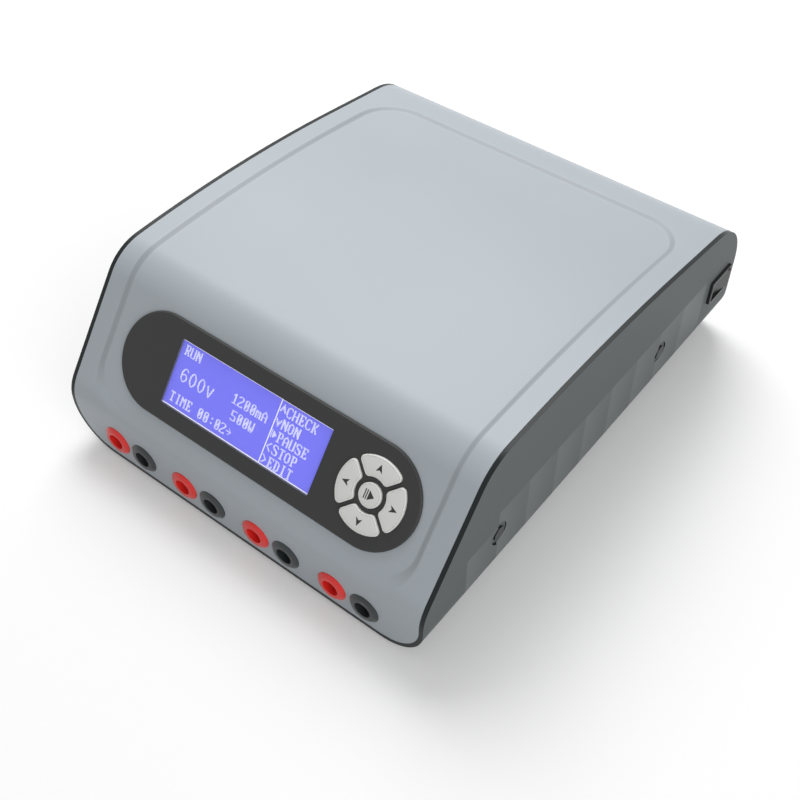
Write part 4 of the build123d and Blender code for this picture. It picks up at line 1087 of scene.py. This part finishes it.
class SUPPLY_OT_window(bpy.types.Operator):
    """Lays the clear window over the display"""
    bl_idname = "supply.window"
    bl_label = "Window"

    def execute(self, context):
        case = context.scene.supply_case
        panel = context.scene.supply_display
        half_x, half_y = panel.screen_width / 2 - WINDOW_INSET, panel.screen_height / 2 - WINDOW_INSET
        vertices = []
        for level in (panel.glass_level + WINDOW_GAP, panel.window_level):
            for x, y in ((-half_x, -half_y), (half_x, -half_y), (half_x, half_y), (-half_x, half_y)):
                vertices.append(slope_point(case, panel.screen_centre + x, y, level))
        faces = [(3, 2, 1, 0), (4, 5, 6, 7), (0, 1, 5, 4), (1, 2, 6, 5), (2, 3, 7, 6), (3, 0, 4, 7)]
        obj = mesh_object("window_pane", vertices, faces, "window", smooth=False)
        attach(obj, CASE_BODY)
        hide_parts("display_window")
        return {"FINISHED"}


def seen_directly(tree):
    """One for rays that the camera sends or that a glossy or clear surface passes on, else nought."""
    path = add_node(tree, "ShaderNodeLightPath")
    total = path.outputs["Is Camera Ray"]
    for other in ("Is Glossy Ray", "Is Transmission Ray"):
        join = add_node(tree, "ShaderNodeMath", {0: total, 1: path.outputs[other]}, operation="MAXIMUM")
        total = join.outputs["Value"]
    return total


def floor_paper(stage):
    """Matt paper with a faint cloud, pale to the camera and darker as a reflector under the object."""
    material, tree, shader = new_material("Floor, pale matt paper")
    seen = (stage.floor_seen,) * 3 + (1.0,)
    bounce = (stage.floor_bounce,) * 3 + (1.0,)
    spot = add_node(tree, "ShaderNodeTexCoord").outputs["Object"]
    cloud = add_node(tree, "ShaderNodeTexNoise", {"Vector": spot, "Scale": 1.0 / CLOUD_SPAN})
    tone = add_node(
        tree, "ShaderNodeValToRGB", {"Fac": cloud.outputs["Fac"]},
        stops=((DRIFT_FROM, scaled(seen, 0.99)), (DRIFT_TO, seen))
    )
    direct = seen_directly(tree)
    mix = add_node(
        tree, "ShaderNodeMix",
        {MIX_FACTOR: direct, MIX_FIRST: bounce, MIX_SECOND: tone.outputs["Color"]}, data_type="RGBA"
    )
    lift = add_node(tree, "ShaderNodeMath", {0: direct, 1: stage.floor_lift}, operation="MULTIPLY")
    feed(tree, shader, {
        "Base Color": mix.outputs[MIX_RESULT], "Emission Color": srgb("FFFFFF"),
        "Emission Strength": lift.outputs["Value"], "Roughness": 0.95, "Specular IOR Level": 0.1,
    })
    return material


def studio_world(stage):
    """Even surroundings: white to the camera, softer as a light."""
    world = bpy.data.worlds.new("studio")
    world.use_nodes = True
    tree = world.node_tree
    strength = add_node(
        tree, "ShaderNodeMapRange", {"Value": seen_directly(tree), "To Min": stage.sky, "To Max": 1.0}
    )
    feed(tree, tree.nodes["Background"], {
        "Color": srgb("FFFFFF"), "Strength": strength.outputs["Result"],
    })
    return world


def area_light(name, location, target, size, power):
    """A square soft light that faces a point."""
    data = bpy.data.lights.new(name, "AREA")
    data.size = size
    data.energy = power
    obj = bpy.data.objects.new(name, data)
    obj.location = location
    obj.rotation_euler = (Vector(target) - Vector(location)).to_track_quat("-Z", "Y").to_euler()
    bpy.context.scene.collection.objects.link(obj)
    return obj


class SUPPLY_OT_stage(bpy.types.Operator):
    """Sets the camera, the pale floor, the soft lights and the plain surroundings"""
    bl_idname = "supply.stage"
    bl_label = "Stage"

    def execute(self, context):
        scene = context.scene
        stage = scene.supply_stage
        MATERIALS["floor"] = floor_paper(stage)
        reach = stage.floor_reach
        corners = [(-reach, -reach, 0), (reach, -reach, 0), (reach, reach, 0), (-reach, reach, 0)]
        floor = mesh_object("floor", corners, [(0, 1, 2, 3)], "floor", smooth=False)

        camera_data = bpy.data.cameras.new("camera")
        camera_data.lens = stage.lens
        camera_data.sensor_width = SENSOR
        camera_data.clip_start, camera_data.clip_end = NEAREST, FARTHEST
        camera = bpy.data.objects.new("camera", camera_data)
        camera.location = stage.camera
        camera.rotation_euler = Vector(stage.forward).to_track_quat("-Z", "Y").to_euler()
        scene.collection.objects.link(camera)
        scene.camera = camera

        lights = [
            area_light("key light", stage.key_place, stage.target, stage.light_size, stage.key_power),
            area_light("side light", stage.side_place, stage.target, stage.light_size, stage.side_power),
        ]
        scene.world = studio_world(stage)
        scene.view_settings.view_transform = "Standard"
        scene.view_settings.look = "None"
        return {"FINISHED"}


class SUPPLY_PT_panel(bpy.types.Panel):
    """Sizes and steps of the dressing"""
    bl_label = "Power Supply"
    bl_idname = "SUPPLY_PT_panel"
    bl_space_type = "VIEW_3D"
    bl_region_type = "UI"
    bl_category = "Power Supply"

    def draw(self, context):
        layout = self.layout
        for group, name, title in GROUPS:
            box = layout.box()
            box.label(text=title)
            for size_or_colour in group.__annotations__:
                box.prop(getattr(context.scene, name), size_or_colour)
        for operator in STEPS:
            layout.operator(operator.bl_idname)


GROUPS = (
    (CaseSettings, "supply_case", "Case"),
    (DisplaySettings, "supply_display", "Display"),
    (SocketSettings, "supply_sockets", "Sockets"),
    (ColourSettings, "supply_colours", "Colours"),
    (StageSettings, "supply_stage", "Stage"),
)
STEPS = (
    SUPPLY_OT_materials,
    SUPPLY_OT_cover,
    SUPPLY_OT_shells,
    SUPPLY_OT_key_marks,
    SUPPLY_OT_readout,
    SUPPLY_OT_window,
    SUPPLY_OT_stage,
)


def register():
    """Registers the settings, the steps and the sidebar panel."""
    for group, name, _ in GROUPS:
        bpy.utils.register_class(group)
        setattr(bpy.types.Scene, name, PointerProperty(type=group))
    for step in STEPS:
        bpy.utils.register_class(step)
    bpy.utils.register_class(SUPPLY_PT_panel)


def unregister():
    """Takes them away again in reverse order."""
    bpy.utils.unregister_class(SUPPLY_PT_panel)
    for step in reversed(STEPS):
        bpy.utils.unregister_class(step)
    for group, name, _ in reversed(GROUPS):
        delattr(bpy.types.Scene, name)
        bpy.utils.unregister_class(group)


def main():
    """Registers the add-on and runs its steps in order."""
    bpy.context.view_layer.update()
    register()
    bpy.ops.supply.materials()
    bpy.ops.supply.cover()
    bpy.ops.supply.shells()
    bpy.ops.supply.key_marks()
    bpy.ops.supply.readout()
    bpy.ops.supply.window()
    bpy.ops.supply.stage()


if __name__ == "__main__":
    main()
